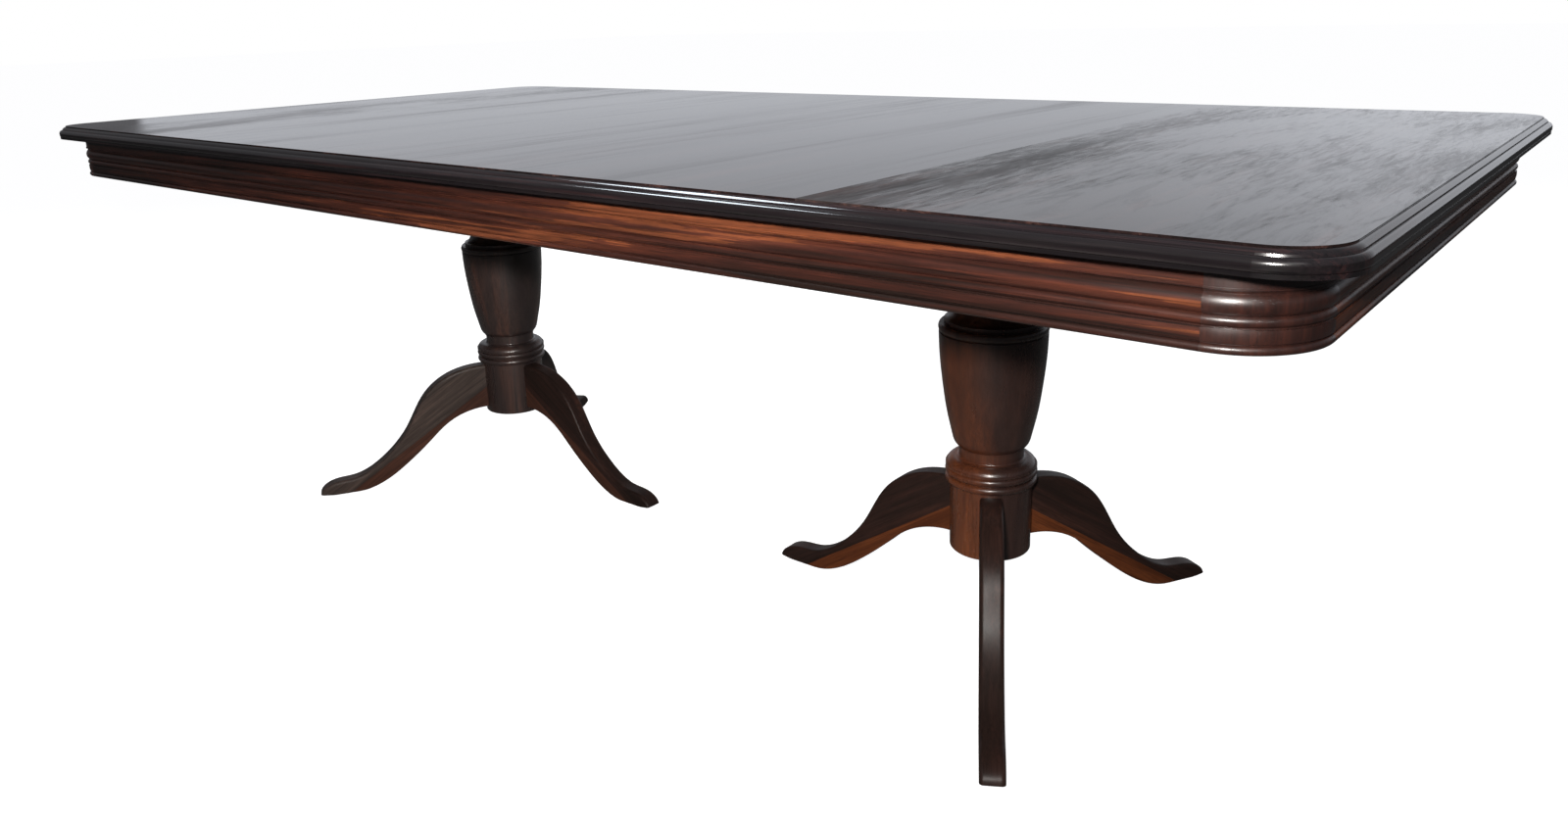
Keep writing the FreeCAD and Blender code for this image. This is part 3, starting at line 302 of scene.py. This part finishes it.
def glued(tree, space, first, second, joint):
    """One board's colour up to a place along X, and another's beyond it."""
    wave = streaks(tree, space, GLUE_WAVES_PER_METRE)
    side = maths(tree, "MULTIPLY_ADD", wave, GLUE_WAVE, measure(tree, X))
    return blend(tree, levels(tree, side, joint, joint + GLUE_BLUR), first, second)


print(f"colours change over {GLUE_BLUR * 1000:.0f} mm at a glued joint")

# %% [markdown]
# ## The lacquer
# One layer of lacquer covers all, and its shine is uneven where cloths have rubbed it. A coat layer would be
# a second mirror on top of the first, so the shader's own one is used alone, and a slow streaky noise drives
# its roughness. Every board below is one call of this recipe with its own grain, tones and shine.

# %% Lacquer a board
PORE_DEPTH = 0.0003
RUBS_PER_METRE = (2.5, 11)
RUB_RANGE = (0.32, 0.7)


def lacquered(name, axes, tones, offset=(0, 0, 0), bands=(1.1, 16), wander=0.5, contrast=0.7, lines=0.7,
              shine=(0.2, 0.34), pores=0.35, mirror=0.5, lean=None, second=None):
    """A lacquered board, its grain along the given axes. shine is its least and greatest roughness, pores
    how deep they dent it, and mirror the strength of its reflections. lean is a function that finds the
    board's lean. second is the tones of another board glued to this one, and where along X it starts."""
    material = bpy.data.materials.new(name)
    material.use_nodes = True
    tree = material.node_tree
    space = grain_space(tree, axes, offset)
    leaning = lean(tree, space) if lean else 0.0
    colour = wood_colour(tree, space, tones, bands, wander, contrast, lines, leaning)
    if second:
        second_tones, joint = second
        other = wood_colour(tree, space, second_tones, bands, wander, contrast, lines)
        colour = glued(tree, space, colour, other, joint)
    colour, depth = open_pores(tree, space, colour, tones[0])
    dents = {"Height": depth, "Strength": pores, "Distance": PORE_DEPTH}
    dented = add(tree, "ShaderNodeBump", dents, invert=True).outputs["Normal"]
    rub = streaks(tree, space, RUBS_PER_METRE, detail=6.0, roughness=0.62)

    shader = tree.nodes["Principled BSDF"]
    shader.inputs["Specular IOR Level"].default_value = mirror
    tree.links.new(colour, shader.inputs["Base Color"])
    tree.links.new(levels(tree, rub, *RUB_RANGE, *shine), shader.inputs["Roughness"])
    tree.links.new(dented, shader.inputs["Normal"])
    return material


print("the lacquered board is ready")

# %% [markdown]
# ## Dressing the pieces
# A piece keeps the solid that the frame gave it and swaps only its material. One small function does that,
# so that the cells below read as a list of which finish goes where.

# %% Give a piece its finish
def dress(names, material):
    """Put one material on every slot of some pieces."""
    for name in names:
        for slot in nodes[name].material_slots:
            slot.material = material
    print(f"{material.name}: {len(names)} piece(s)")


# %% [markdown]
# ## The shine of the top
# The top is veneered crosswise, and its stain is nearly black, so almost all that one sees is lacquer with
# the room in it. The veneer shows as streaks in the shine: where the lacquer has sunk into open grain it
# scatters, and a scattering patch of a dark top looks darker than a polished one. So each panel gets a map
# of roughness, quiet in the middle of the table and more figured at its two ends. The right end panel has
# sunk most of all: beside its joint, towards the front, and there in small patches too.

# %% Sink the lacquer into the veneer
QUIET = {
    "bands": (0.8, 17),
    "wander": 0.25,
    "broad": {"per_metre": (0.5, 9.0), "detail": 3.0, "distortion": 0.3},
    "fine": {"per_metre": (3.5, 120), "detail": 4.0, "roughness": 0.6, "distortion": 0.4},
    "fineness": 0.6,
    "shine": (0.06, 0.19),
}
FIGURED = {
    "bands": (2.4, 11),
    "wander": 1.4,
    "broad": {"per_metre": (1.3, 5.0), "detail": 3.0, "distortion": 0.8},
    "fine": {"per_metre": (15, 120), "detail": 5.0, "roughness": 0.7, "distortion": 0.9},
    "fineness": 0.8,
    "shine": (0.08, 0.24),
}
SUNK_RANGE = (-0.12, 0.26)
BESIDE_JOINT = (0.03, 0.26)
NEAR_FRONT = (-0.45, 0.15)
FAR_SHARE = 0.08
STREAKY_RANGE = (-0.3, 0.06)
STREAKY_ROUGHNESS = (0.08, 0.26)
PATCHES_PER_METRE = (5, 24)
PATCH_RANGE = (0.46, 0.6)
PATCH_ROUGHNESS = 0.09


def sunk_further(tree, space, sunk, joint):
    """The roughness that sinking adds beside a joint, and in patches near the front."""
    fade_start, fade_end = (joint + away for away in BESIDE_JOINT)
    near_joint = levels(tree, measure(tree, X), fade_start, fade_end, 1.0, 0.0)
    near_front = levels(tree, measure(tree, Y), *NEAR_FRONT, 1.0, FAR_SHARE)
    streaky = levels(tree, sunk, *STREAKY_RANGE, *STREAKY_ROUGHNESS)
    beside = maths(tree, "MULTIPLY", maths(tree, "MULTIPLY", near_joint, near_front), streaky)
    patch = streaks(tree, space, PATCHES_PER_METRE, detail=6.0, roughness=0.7, distortion=1.2)
    patchy = levels(tree, patch, *PATCH_RANGE, 0.0, PATCH_ROUGHNESS)
    return maths(tree, "MULTIPLY_ADD", patchy, near_front, beside)


def sunk_lacquer(tree, space, figure, joint):
    """The roughness of a panel. figure is QUIET or FIGURED, and joint a place along X, or None."""
    broad = streaks(tree, space, **figure["broad"])
    fine = streaks(tree, space, **figure["fine"])
    both = maths(tree, "MULTIPLY_ADD", fine, figure["fineness"], broad)
    sunk = maths(tree, "SUBTRACT", both, 0.5 + figure["fineness"] / 2)
    roughness = levels(tree, sunk, *SUNK_RANGE, *figure["shine"])
    if joint is not None:
        roughness = maths(tree, "ADD", roughness, sunk_further(tree, space, sunk, joint))
    return roughness


print(f"shine {QUIET['shine']} in the middle, {FIGURED['shine']} at the ends")

# %% [markdown]
# ## The panels
# A panel is one solid with one slot for a material, but it is finished on its upper side only: nobody
# stains what faces the floor. So its material looks at the height of each point, and within the last
# millimetre above the underside the stained veneer gives way to bare, matt wood.

# %% Veneer the panels
TOP_TONES = ((0.004, 0.003, 0.003), (0.010, 0.006, 0.006), (0.022, 0.011, 0.010), (0.050, 0.024, 0.020))
BARE_TONES = ((0.045, 0.026, 0.016), (0.085, 0.050, 0.031), (0.13, 0.080, 0.050), (0.19, 0.12, 0.075))
BARE_SKIN = (UNDERSIDE + 0.0002, UNDERSIDE + 0.0008)
BARE_ROUGHNESS = 0.6
BARE = {"bands": (1.0, 30), "wander": 0.3, "contrast": 0.6, "line_strength": 0.3}
PANEL_STEP = (2.7, 0.31, 0)
PANELS = {
    "left_end": (FIGURED, None),
    "left": (QUIET, None),
    "middle": (QUIET, None),
    "right": (QUIET, None),
    "right_end": (FIGURED, END_JOINT),
}


def veneered(name, offset, figure, joint):
    """A panel: dark veneer under lacquer above, bare wood below."""
    material = lacquered(name, ALONG_Y, TOP_TONES, offset, figure["bands"], figure["wander"], pores=0.05)
    tree = material.node_tree
    shader = tree.nodes["Principled BSDF"]
    space = grain_space(tree, ALONG_Y, offset)
    below = levels(tree, measure(tree, Z), *BARE_SKIN, 1.0, 0.0)
    stained = shader.inputs["Base Color"].links[0].from_socket
    bare = wood_colour(tree, space, BARE_TONES, **BARE)
    tree.links.new(blend(tree, below, stained, bare), shader.inputs["Base Color"])
    lacquer = sunk_lacquer(tree, space, figure, joint)
    roughness = maths(tree, "MAXIMUM", lacquer, maths(tree, "MULTIPLY", below, BARE_ROUGHNESS))
    tree.links.new(roughness, shader.inputs["Roughness"])
    return material


for index, (panel, (figure, joint)) in enumerate(PANELS.items()):
    veneer = veneered(f"veneer_{panel}", stretch(index, PANEL_STEP), figure, joint)
    dress([f"top_panel_{panel}"], veneer)

# %% [markdown]
# ## The moulded edge
# The moulding is the darkest wood on the table, with only a breath of red where light gets into it. Hands
# and cloths polish it more than anything else, so its highlights are thin and sharp. Its grain follows each
# length. The four corners are turned pieces, and their lacquer is a little duller.

# %% Finish the edge
EDGE_TONES = ((0.004, 0.003, 0.004), (0.007, 0.006, 0.006), (0.013, 0.009, 0.010), (0.026, 0.013, 0.013))
EDGE = {"bands": (1.3, 40), "wander": 0.3, "shine": (0.08, 0.17), "pores": 0.04, "mirror": 0.75}
EDGE_CORNER = EDGE | {"shine": (0.15, 0.24)}
CORNERS = ("front_left", "front_right", "back_left", "back_right")
edge_lengthwise = lacquered("edge_lengthwise", ALONG_X, EDGE_TONES, **EDGE)
edge_crosswise = lacquered("edge_crosswise", ALONG_Y, EDGE_TONES, **EDGE)
edge_turned = lacquered("edge_turned", ALONG_X, EDGE_TONES, **EDGE_CORNER)
dress(["edge_moulding_front", "edge_moulding_back"], edge_lengthwise)
dress(["edge_moulding_left", "edge_moulding_right"], edge_crosswise)
dress([f"edge_corner_{corner}" for corner in CORNERS], edge_turned)

# %% [markdown]
# ## The flame of the rails
# The apron is where the wood shows its colour: red-brown to orange flames between almost black bands. They
# aren't spread evenly. Below a wavy line that climbs along the rail the timber is darker and above it paler,
# most of all round one place near the right end. The whole rail is also painted darker towards the left
# and paler at its far right, partly its own tone and partly painted shade and painted light for the lamp's
# falloff along the table. The recipe chooses its colour by a number, so all of this is one more number to
# add: how far the colour leans to the dark or the pale side.

# %% Lean the flame
FLAME_LINE = reach("apron_rail_front", Z)[0] - 0.0126
FLAME_CLIMB = 0.085
FLAME_WAVES_PER_METRE = (2.5, 14)
FLAME_WAVE = 0.02
FLAME_EDGE = (FLAME_LINE + 0.001, FLAME_LINE + 0.019)
FLAME_LEAN = (-0.19, 0.15)
FLAME_MIDDLE = 0.68
FLAME_FADE = (0.15, 0.5)
FLAME_FADED = 0.2
# Painted shade towards the left end and painted light at the far right, for the lamp's falloff, on the
# wood's own tone.
SHADE_AND_TONE_STRETCH = (-0.8, 0.65)
SHADE_AND_TONE_LEAN = -0.2
LIGHT_AND_TONE_STRETCH = (0.72, 0.95)
LIGHT_AND_TONE_LEAN = 0.10


def flame(tree, space):
    """The lean of a rail. Heights and places are in metres, and the climb is the rise in a metre along X."""
    place = measure(tree, X)
    height = maths(tree, "SUBTRACT", measure(tree, Z), maths(tree, "MULTIPLY", place, FLAME_CLIMB))
    wave = streaks(tree, space, FLAME_WAVES_PER_METRE)
    height = maths(tree, "MULTIPLY_ADD", wave, FLAME_WAVE, height)
    lean = levels(tree, height, *FLAME_EDGE, *FLAME_LEAN)
    away = maths(tree, "ABSOLUTE", maths(tree, "SUBTRACT", place, FLAME_MIDDLE))
    lean = maths(tree, "MULTIPLY", lean, levels(tree, away, *FLAME_FADE, 1.0, FLAME_FADED))
    # Painted shade to the left and painted light to the right, for the lamp's falloff along the rail.
    lean = maths(tree, "ADD", lean, levels(tree, place, *SHADE_AND_TONE_STRETCH, SHADE_AND_TONE_LEAN, 0.0))
    return maths(tree, "ADD", lean, levels(tree, place, *LIGHT_AND_TONE_STRETCH, 0.0, LIGHT_AND_TONE_LEAN))


print(f"the dark starts below {FLAME_LINE:.4f} m, and the flame is strongest {FLAME_MIDDLE} m to the right")

# %% [markdown]
# ## The apron
# Four rails run from corner block to corner block, with their grain along them. The round corner blocks
# stand on end, so their grain is upright, and beside the rails they look greyer and shinier.

# %% Finish the apron
APRON_TONES = ((0.009, 0.005, 0.004), (0.033, 0.010, 0.007), (0.074, 0.021, 0.012), (0.148, 0.043, 0.018))
CORNER_TONES = ((0.012, 0.006, 0.005), (0.026, 0.009, 0.007), (0.046, 0.014, 0.009), (0.080, 0.024, 0.014))
RAIL = {
    "offset": (0.30, 0, 0),
    "bands": (1.2, 24),
    "wander": 0.9,
    "contrast": 0.8,
    "shine": (0.3, 0.44),
    "pores": 0.2,
    "mirror": 0.25,
    "lean": flame,
}
CORNER_BLOCK = {
    "bands": (4, 16),
    "wander": 1.2,
    "contrast": 0.6,
    "lines": 0.3,
    "shine": (0.28, 0.40),
    "mirror": 0.65,
}
rail_lengthwise = lacquered("rail_lengthwise", ALONG_X, APRON_TONES, **RAIL)
rail_crosswise = lacquered("rail_crosswise", ALONG_Y, APRON_TONES, **RAIL)
corner_upright = lacquered("corner_upright", UPRIGHT, CORNER_TONES, **CORNER_BLOCK)
dress(["apron_rail_front", "apron_rail_back"], rail_lengthwise)
dress(["apron_rail_left", "apron_rail_right"], rail_crosswise)
dress([f"apron_corner_{corner}" for corner in CORNERS], corner_upright)

# %% [markdown]
# ## The columns
# Each column is turned from a blank that was glued up from boards, so its colour changes along an upright
# line while the turning runs round it. On the right column an orange-brown board meets a dark one, which
# also serves as painted shade on the column's shaded side. The orange board is painted paler towards the
# foot, a painted light for the lower column being lit more. The left column is dark and greyish all round.

# %% Finish the columns
GREY_COLUMN = ((0.014, 0.010, 0.010), (0.022, 0.015, 0.014), (0.037, 0.022, 0.019), (0.070, 0.032, 0.023))
ORANGE_COLUMN = ((0.034, 0.012, 0.007), (0.060, 0.019, 0.009), (0.100, 0.029, 0.012), (0.165, 0.048, 0.016))
# The dark board's tones, which also stand in as painted shade on the column's shaded side.
BOARD_AND_SHADE_TONES = ((0.016, 0.009, 0.008), (0.025, 0.013, 0.011), (0.038, 0.018, 0.014), (0.060, 0.026, 0.018))
BOARD_AND_SHADE_JOINT = RIGHT_AXIS + 0.017
# Painted light: the heights over which the column is painted paler towards its foot, and by how much.
PAINTED_LIGHT_HEIGHTS = (0.16, 0.42)
PAINTED_LIGHT_LEAN = 0.36
COLUMN_STEP = (1.3, 0.4, 0)
TURNED = {
    "bands": (2.2, 10),
    "wander": 1.2,
    "contrast": 0.5,
    "lines": 0.3,
    "shine": (0.24, 0.36),
    "pores": 0.2,
}


def painted_light_below(tree, _space):
    """The lean of a column that is painted paler towards the floor, as painted light on its lower part."""
    return levels(tree, measure(tree, Z), *PAINTED_LIGHT_HEIGHTS, PAINTED_LIGHT_LEAN, 0.0)


COLUMNS = {
    "left": {"tones": GREY_COLUMN},
    # The right column: its dark board is partly painted shade, its paler foot painted light.
    "right": {"tones": ORANGE_COLUMN, "second": (BOARD_AND_SHADE_TONES, BOARD_AND_SHADE_JOINT), "lean": painted_light_below},
}
for index, (side, column) in enumerate(COLUMNS.items()):
    turned = lacquered(f"turned_{side}", UPRIGHT, offset=stretch(index, COLUMN_STEP), **TURNED, **column)
    dress([f"column_{side}", f"column_cap_{side}"], turned)

# %% [markdown]
# ## The legs
# A leg is sawn from two boards glued edge to edge: a dark one above and an orange-brown one below, which
# meet in a straight line. On the left pedestal the lower boards are duller, and the upper board of its
# front leg is painted grey, a painted sheen for the soft highlight that its lacquer shows. The grain runs
# down the leg along the glue line, so the coordinates are turned twice, first to the leg's direction in plan
# and then down its slope.

# %% Finish the legs
LEG_TONES = ((0.011, 0.007, 0.006), (0.019, 0.011, 0.009), (0.031, 0.015, 0.012), (0.050, 0.022, 0.016))
# Painted sheen: greyer, paler tones for the upper board of the left front leg.
PAINTED_SHEEN_TONES = ((0.022, 0.017, 0.016), (0.042, 0.032, 0.028), (0.064, 0.047, 0.040), (0.092, 0.062, 0.052))
STRIP_TONES = ((0.045, 0.014, 0.007), (0.095, 0.028, 0.010), (0.15, 0.044, 0.015), (0.22, 0.065, 0.021))
DULL_STRIP_TONES = (
    (0.028, 0.013, 0.010),
    (0.050, 0.022, 0.015),
    (0.075, 0.031, 0.020),
    (0.105, 0.041, 0.026),
)
LEG_SLOPE = math.radians(32.7)
LEG_TURNS = {
    "left_centre": 0,
    "left_back": 120,
    "left_front": 240,
    "right_centre": 180,
    "right_front": 300,
    "right_back": 60,
}
LEG_STEP = (0.7, 0.23, 0)
LEG = {
    "bands": (1.8, 26),
    "wander": 0.3,
    "contrast": 0.55,
    "lines": 0.45,
    "shine": (0.34, 0.46),
    "pores": 0.25,
    "mirror": 0.10,
}
for index, (leg, turn) in enumerate(LEG_TURNS.items()):
    axes = Matrix.Rotation(-LEG_SLOPE, 3, "Y") @ Matrix.Rotation(-math.radians(turn), 3, "Z")
    offset = stretch(index, LEG_STEP)
    # The left front leg's upper board gets the painted sheen tones.
    upper_tones = PAINTED_SHEEN_TONES if leg == "left_front" else LEG_TONES
    lower_tones = DULL_STRIP_TONES if leg.startswith("left") else STRIP_TONES
    for board, tones in (("upper", upper_tones), ("lower", lower_tones)):
        leg_wood = lacquered(f"leg_{leg}_{board}", axes, tones, offset, **LEG)
        dress([f"leg_{leg}_{board}"], leg_wood)

# %% [markdown]
# ## What lies out of sight
# Bearers, blocks, buttons, tongues and dowels are bare pale wood. It is planed and never polished, so the
# recipe gets a high roughness, which kills the shine.

# %% Finish the hidden wood
PALE_TONES = ((0.22, 0.13, 0.07), (0.36, 0.23, 0.12), (0.46, 0.31, 0.18), (0.56, 0.41, 0.25))
PLANED = {"bands": (1.0, 30), "wander": 0.3, "lines": 0.2, "shine": (0.5, 0.65)}
BEARERS = ("left_outer", "left_inner", "middle_left", "middle_right", "right_inner", "right_outer")
bearer_wood = lacquered("bearer_wood", ALONG_Y, PALE_TONES, **PLANED)
block_wood = lacquered("block_wood", ALONG_X, PALE_TONES, **PLANED)
dress([f"bearer_{bearer}" for bearer in BEARERS] + ["top_loose_tongues"], bearer_wood)
dress(["pedestal_block_left", "pedestal_block_right", "top_buttons", "apron_dowels"], block_wood)

# %% [markdown]
# ## Metal and plastic
# The screws are plain zinc-plated steel and the glides black plastic. Both are small, so a cloudy roughness
# and shade are all the detail they need.

# %% Finish the screws and glides
CLOUDS_PER_METRE = 180.0
CLOUD_STOPS = (0.25, 0.75)
CLOUD_LIGHT = 0.75
CLOUD_RANGE = (0.3, 0.7)
CLOUD_SHINE = (0.8, 1.25)


def plain_finish(name, colour, metallic, roughness):
    """A surface whose only detail is a slight unevenness in its shine and shade."""
    material = bpy.data.materials.new(name)
    material.use_nodes = True
    tree = material.node_tree
    shader = tree.nodes["Principled BSDF"]
    shader.inputs["Metallic"].default_value = metallic
    place = add(tree, "ShaderNodeTexCoord").outputs["Object"]
    cloud = noise(tree, place, CLOUDS_PER_METRE, detail=5.0)
    shade = ramp(tree, cloud, list(zip(CLOUD_STOPS, (darker(colour, CLOUD_LIGHT), colour))))
    tree.links.new(shade, shader.inputs["Base Color"])
    dull = levels(tree, cloud, *CLOUD_RANGE, *(roughness * part for part in CLOUD_SHINE))
    tree.links.new(dull, shader.inputs["Roughness"])
    return material


zinc = plain_finish("zinc_steel", (0.62, 0.60, 0.55), metallic=1.0, roughness=0.35)
glide_plastic = plain_finish("glide_plastic", (0.03, 0.03, 0.03), metallic=0.0, roughness=0.5)
dress(["bearer_screws", "button_screws", "cap_screws", "coach_screws"], zinc)
dress(["foot_glides"], glide_plastic)

# %% [markdown]
# ## The floor
# The table stands on a plain pale floor that runs on into a white backdrop. A truly white floor would also
# shine up into the lacquer and turn the legs milky. So the floor glows a little for the camera and is plain
# grey for every other ray, much as a backdrop in a studio is bleached by a lamp of its own.

# %% Lay the floor
FLOOR_SIZE = 80.0
FLOOR_WHITE = (0.5, 0.5, 0.5, 1)
FLOOR_GREY = (0.16, 0.16, 0.155, 1)
FLOOR_GLOW = 0.88
WHITE = (1, 1, 1, 1)
bpy.ops.mesh.primitive_plane_add(size=FLOOR_SIZE, location=(0, 0, 0))
floor = bpy.context.object
floor.name = "pale_floor"
floor_paint = bpy.data.materials.new("floor_paint")
floor_paint.use_nodes = True
paint = floor_paint.node_tree
paint.nodes.clear()
seen = add(paint, "ShaderNodeLightPath").outputs["Is Camera Ray"]
matt_white = add(paint, "ShaderNodeBsdfDiffuse", {"Color": FLOOR_WHITE}).outputs[0]
glow = add(paint, "ShaderNodeEmission", {"Color": WHITE, "Strength": FLOOR_GLOW}).outputs[0]
bleached = add(paint, "ShaderNodeAddShader", {0: matt_white, 1: glow}).outputs[0]
matt_grey = add(paint, "ShaderNodeBsdfDiffuse", {"Color": FLOOR_GREY}).outputs[0]
both = add(paint, "ShaderNodeMixShader", {0: seen, 1: matt_grey, 2: bleached}).outputs[0]
add(paint, "ShaderNodeOutputMaterial", {"Surface": both})
floor.data.materials.append(floor_paint)
print(f"floor {FLOOR_SIZE:.0f} m square")

# %% [markdown]
# ## The room
# A glossy dark top shows whatever stands round it, so the room is part of the finish. The camera sees the
# top at a flat angle and the lacquer mirrors the far wall, which is pale, a little brighter to the right,
# and darker towards the ceiling. The wall ends to the left, which is why the far left corner shows its own
# dark red-brown. Behind the camera the room is dim. All of it could be modelled, but a mirror only needs
# the right brightness in each direction, so a shader for the world is enough.

# %% Paint the room
WALL = (
    (0.0, (0.68, 0.70, 0.75)),
    (0.16, (0.60, 0.615, 0.66)),
    (0.45, (0.32, 0.33, 0.35)),
    (1.0, (0.16, 0.16, 0.17)),
)
DIM = ((0.0, (0.135, 0.135, 0.145)), (0.3, (0.17, 0.17, 0.18)), (1.0, (0.20, 0.20, 0.22)))
ALONG_WALL_TURN = math.radians(68)
ALONG_WALL = (math.cos(ALONG_WALL_TURN), math.sin(ALONG_WALL_TURN), 0)
WALL_END_BLUR = 0.004
WALL_MIDDLE = (-0.6, 0.8, 0)
WALL_FADE = (0.2, 0.8)
BRIGHT_PART = (-0.42, -0.14)
BRIGHT_GAIN = 1.35
world = bpy.data.worlds.new("soft_room")
scene.world = world
world.use_nodes = True
sky = world.node_tree
sky.nodes.clear()
direction = add(sky, "ShaderNodeTexCoord").outputs["Generated"]
sideways, _, rise = add(sky, "ShaderNodeSeparateXYZ", {0: direction}).outputs


def towards(goal):
    """One in the direction of a goal, zero in every direction square to it, and below zero behind."""
    vectors = {0: direction, 1: goal}
    return add(sky, "ShaderNodeVectorMath", vectors, operation="DOT_PRODUCT").outputs["Value"]


right_of_end = levels(sky, towards(ALONG_WALL), -WALL_END_BLUR, WALL_END_BLUR)
on_wall = maths(sky, "MULTIPLY", right_of_end, levels(sky, towards(WALL_MIDDLE), *WALL_FADE))
brighter_right = levels(sky, sideways, *BRIGHT_PART, 1.0, BRIGHT_GAIN)
wall = blend(sky, 1.0, ramp(sky, rise, WALL), brighter_right, how="MULTIPLY")
room = blend(sky, on_wall, ramp(sky, rise, DIM), wall)
print("a pale wall ahead, a dim room behind")

# %% [markdown]
# ## The backdrop
# The pictures show the table on white, with no room at all. So the room lights the table and lies in its
# lacquer, and the camera itself sees plain white in its place.

# %% Show the room only to the table
room_light = add(sky, "ShaderNodeBackground", {"Color": room, "Strength": 1.0}).outputs[0]
backdrop = add(sky, "ShaderNodeBackground", {"Color": WHITE, "Strength": 1.0}).outputs[0]
seen_direct = add(sky, "ShaderNodeLightPath").outputs["Is Camera Ray"]
mixed = add(sky, "ShaderNodeMixShader", {0: seen_direct, 1: room_light, 2: backdrop}).outputs[0]
add(sky, "ShaderNodeOutputWorld", {"Surface": mixed})
scene.view_settings.view_transform = "Standard"
print("white backdrop")

# %% [markdown]
# ## The lamps
# Most of the light comes from one small lamp just above the camera. Being small it draws the sharp shadow
# of the apron across the columns, and being close it lets the far end fall into the dark. A high window
# draws thin pale lines along the moulding. It lights nothing else, so it is hidden from matt surfaces. A
# large soft lamp picks out the crests of the legs. The last lamp stands behind the table, so that its back
# can be seen too, and it is hidden from the lacquer, where it would show as a white patch.

# %% Hang the lamps
LAMPS = {
    "front_lamp": {
        "place": (1.30, -1.50, 1.082),
        "target": (-0.8, 0, 0.4),
        "size": (0.10, 0.07),
        "power": 31,
        "colour": (1.0, 0.96, 0.92),
        "spread": 125,
    },
    "high_window": {
        "place": (-0.97, -0.95, 2.4),
        "target": (-0.3, -0.6, 0.77),
        "size": (0.85, 0.5),
        "power": 22,
        "colour": (0.84, 0.93, 1.0),
        "matt": False,
    },
    "high_lamp": {"place": (2.6, -2.6, 2.9), "target": (0.6, -0.2, 0.3), "size": (1.4, 1.4), "power": 6},
    "back_lamp": {
        "place": (-2.2, 3.0, 1.7),
        "target": (0, 0, 0.4),
        "size": (1.8, 1.8),
        "power": 85,
        "glossy": False,
    },
}


def hang(name, place, target, size, power, colour=(1, 1, 1), spread=180, matt=True, glossy=True):
    """Hang a flat lamp that faces a target. A narrow spread, in degrees, keeps its light near its axis.
    matt and glossy say which surfaces it lights."""
    lamp_data = bpy.data.lights.new(name, "AREA")
    lamp_data.shape = "RECTANGLE"
    lamp_data.size, lamp_data.size_y = size
    lamp_data.energy = power
    lamp_data.color = colour
    lamp_data.spread = math.radians(spread)
    lamp = bpy.data.objects.new(name, lamp_data)
    lamp.location = place
    lamp.rotation_euler = (Vector(target) - Vector(place)).to_track_quat("-Z", "Y").to_euler()
    lamp.visible_diffuse = matt
    lamp.visible_glossy = glossy
    scene.collection.objects.link(lamp)
    print(f"{name}: {power} W")


for name, settings in LAMPS.items():
    hang(name, **settings)
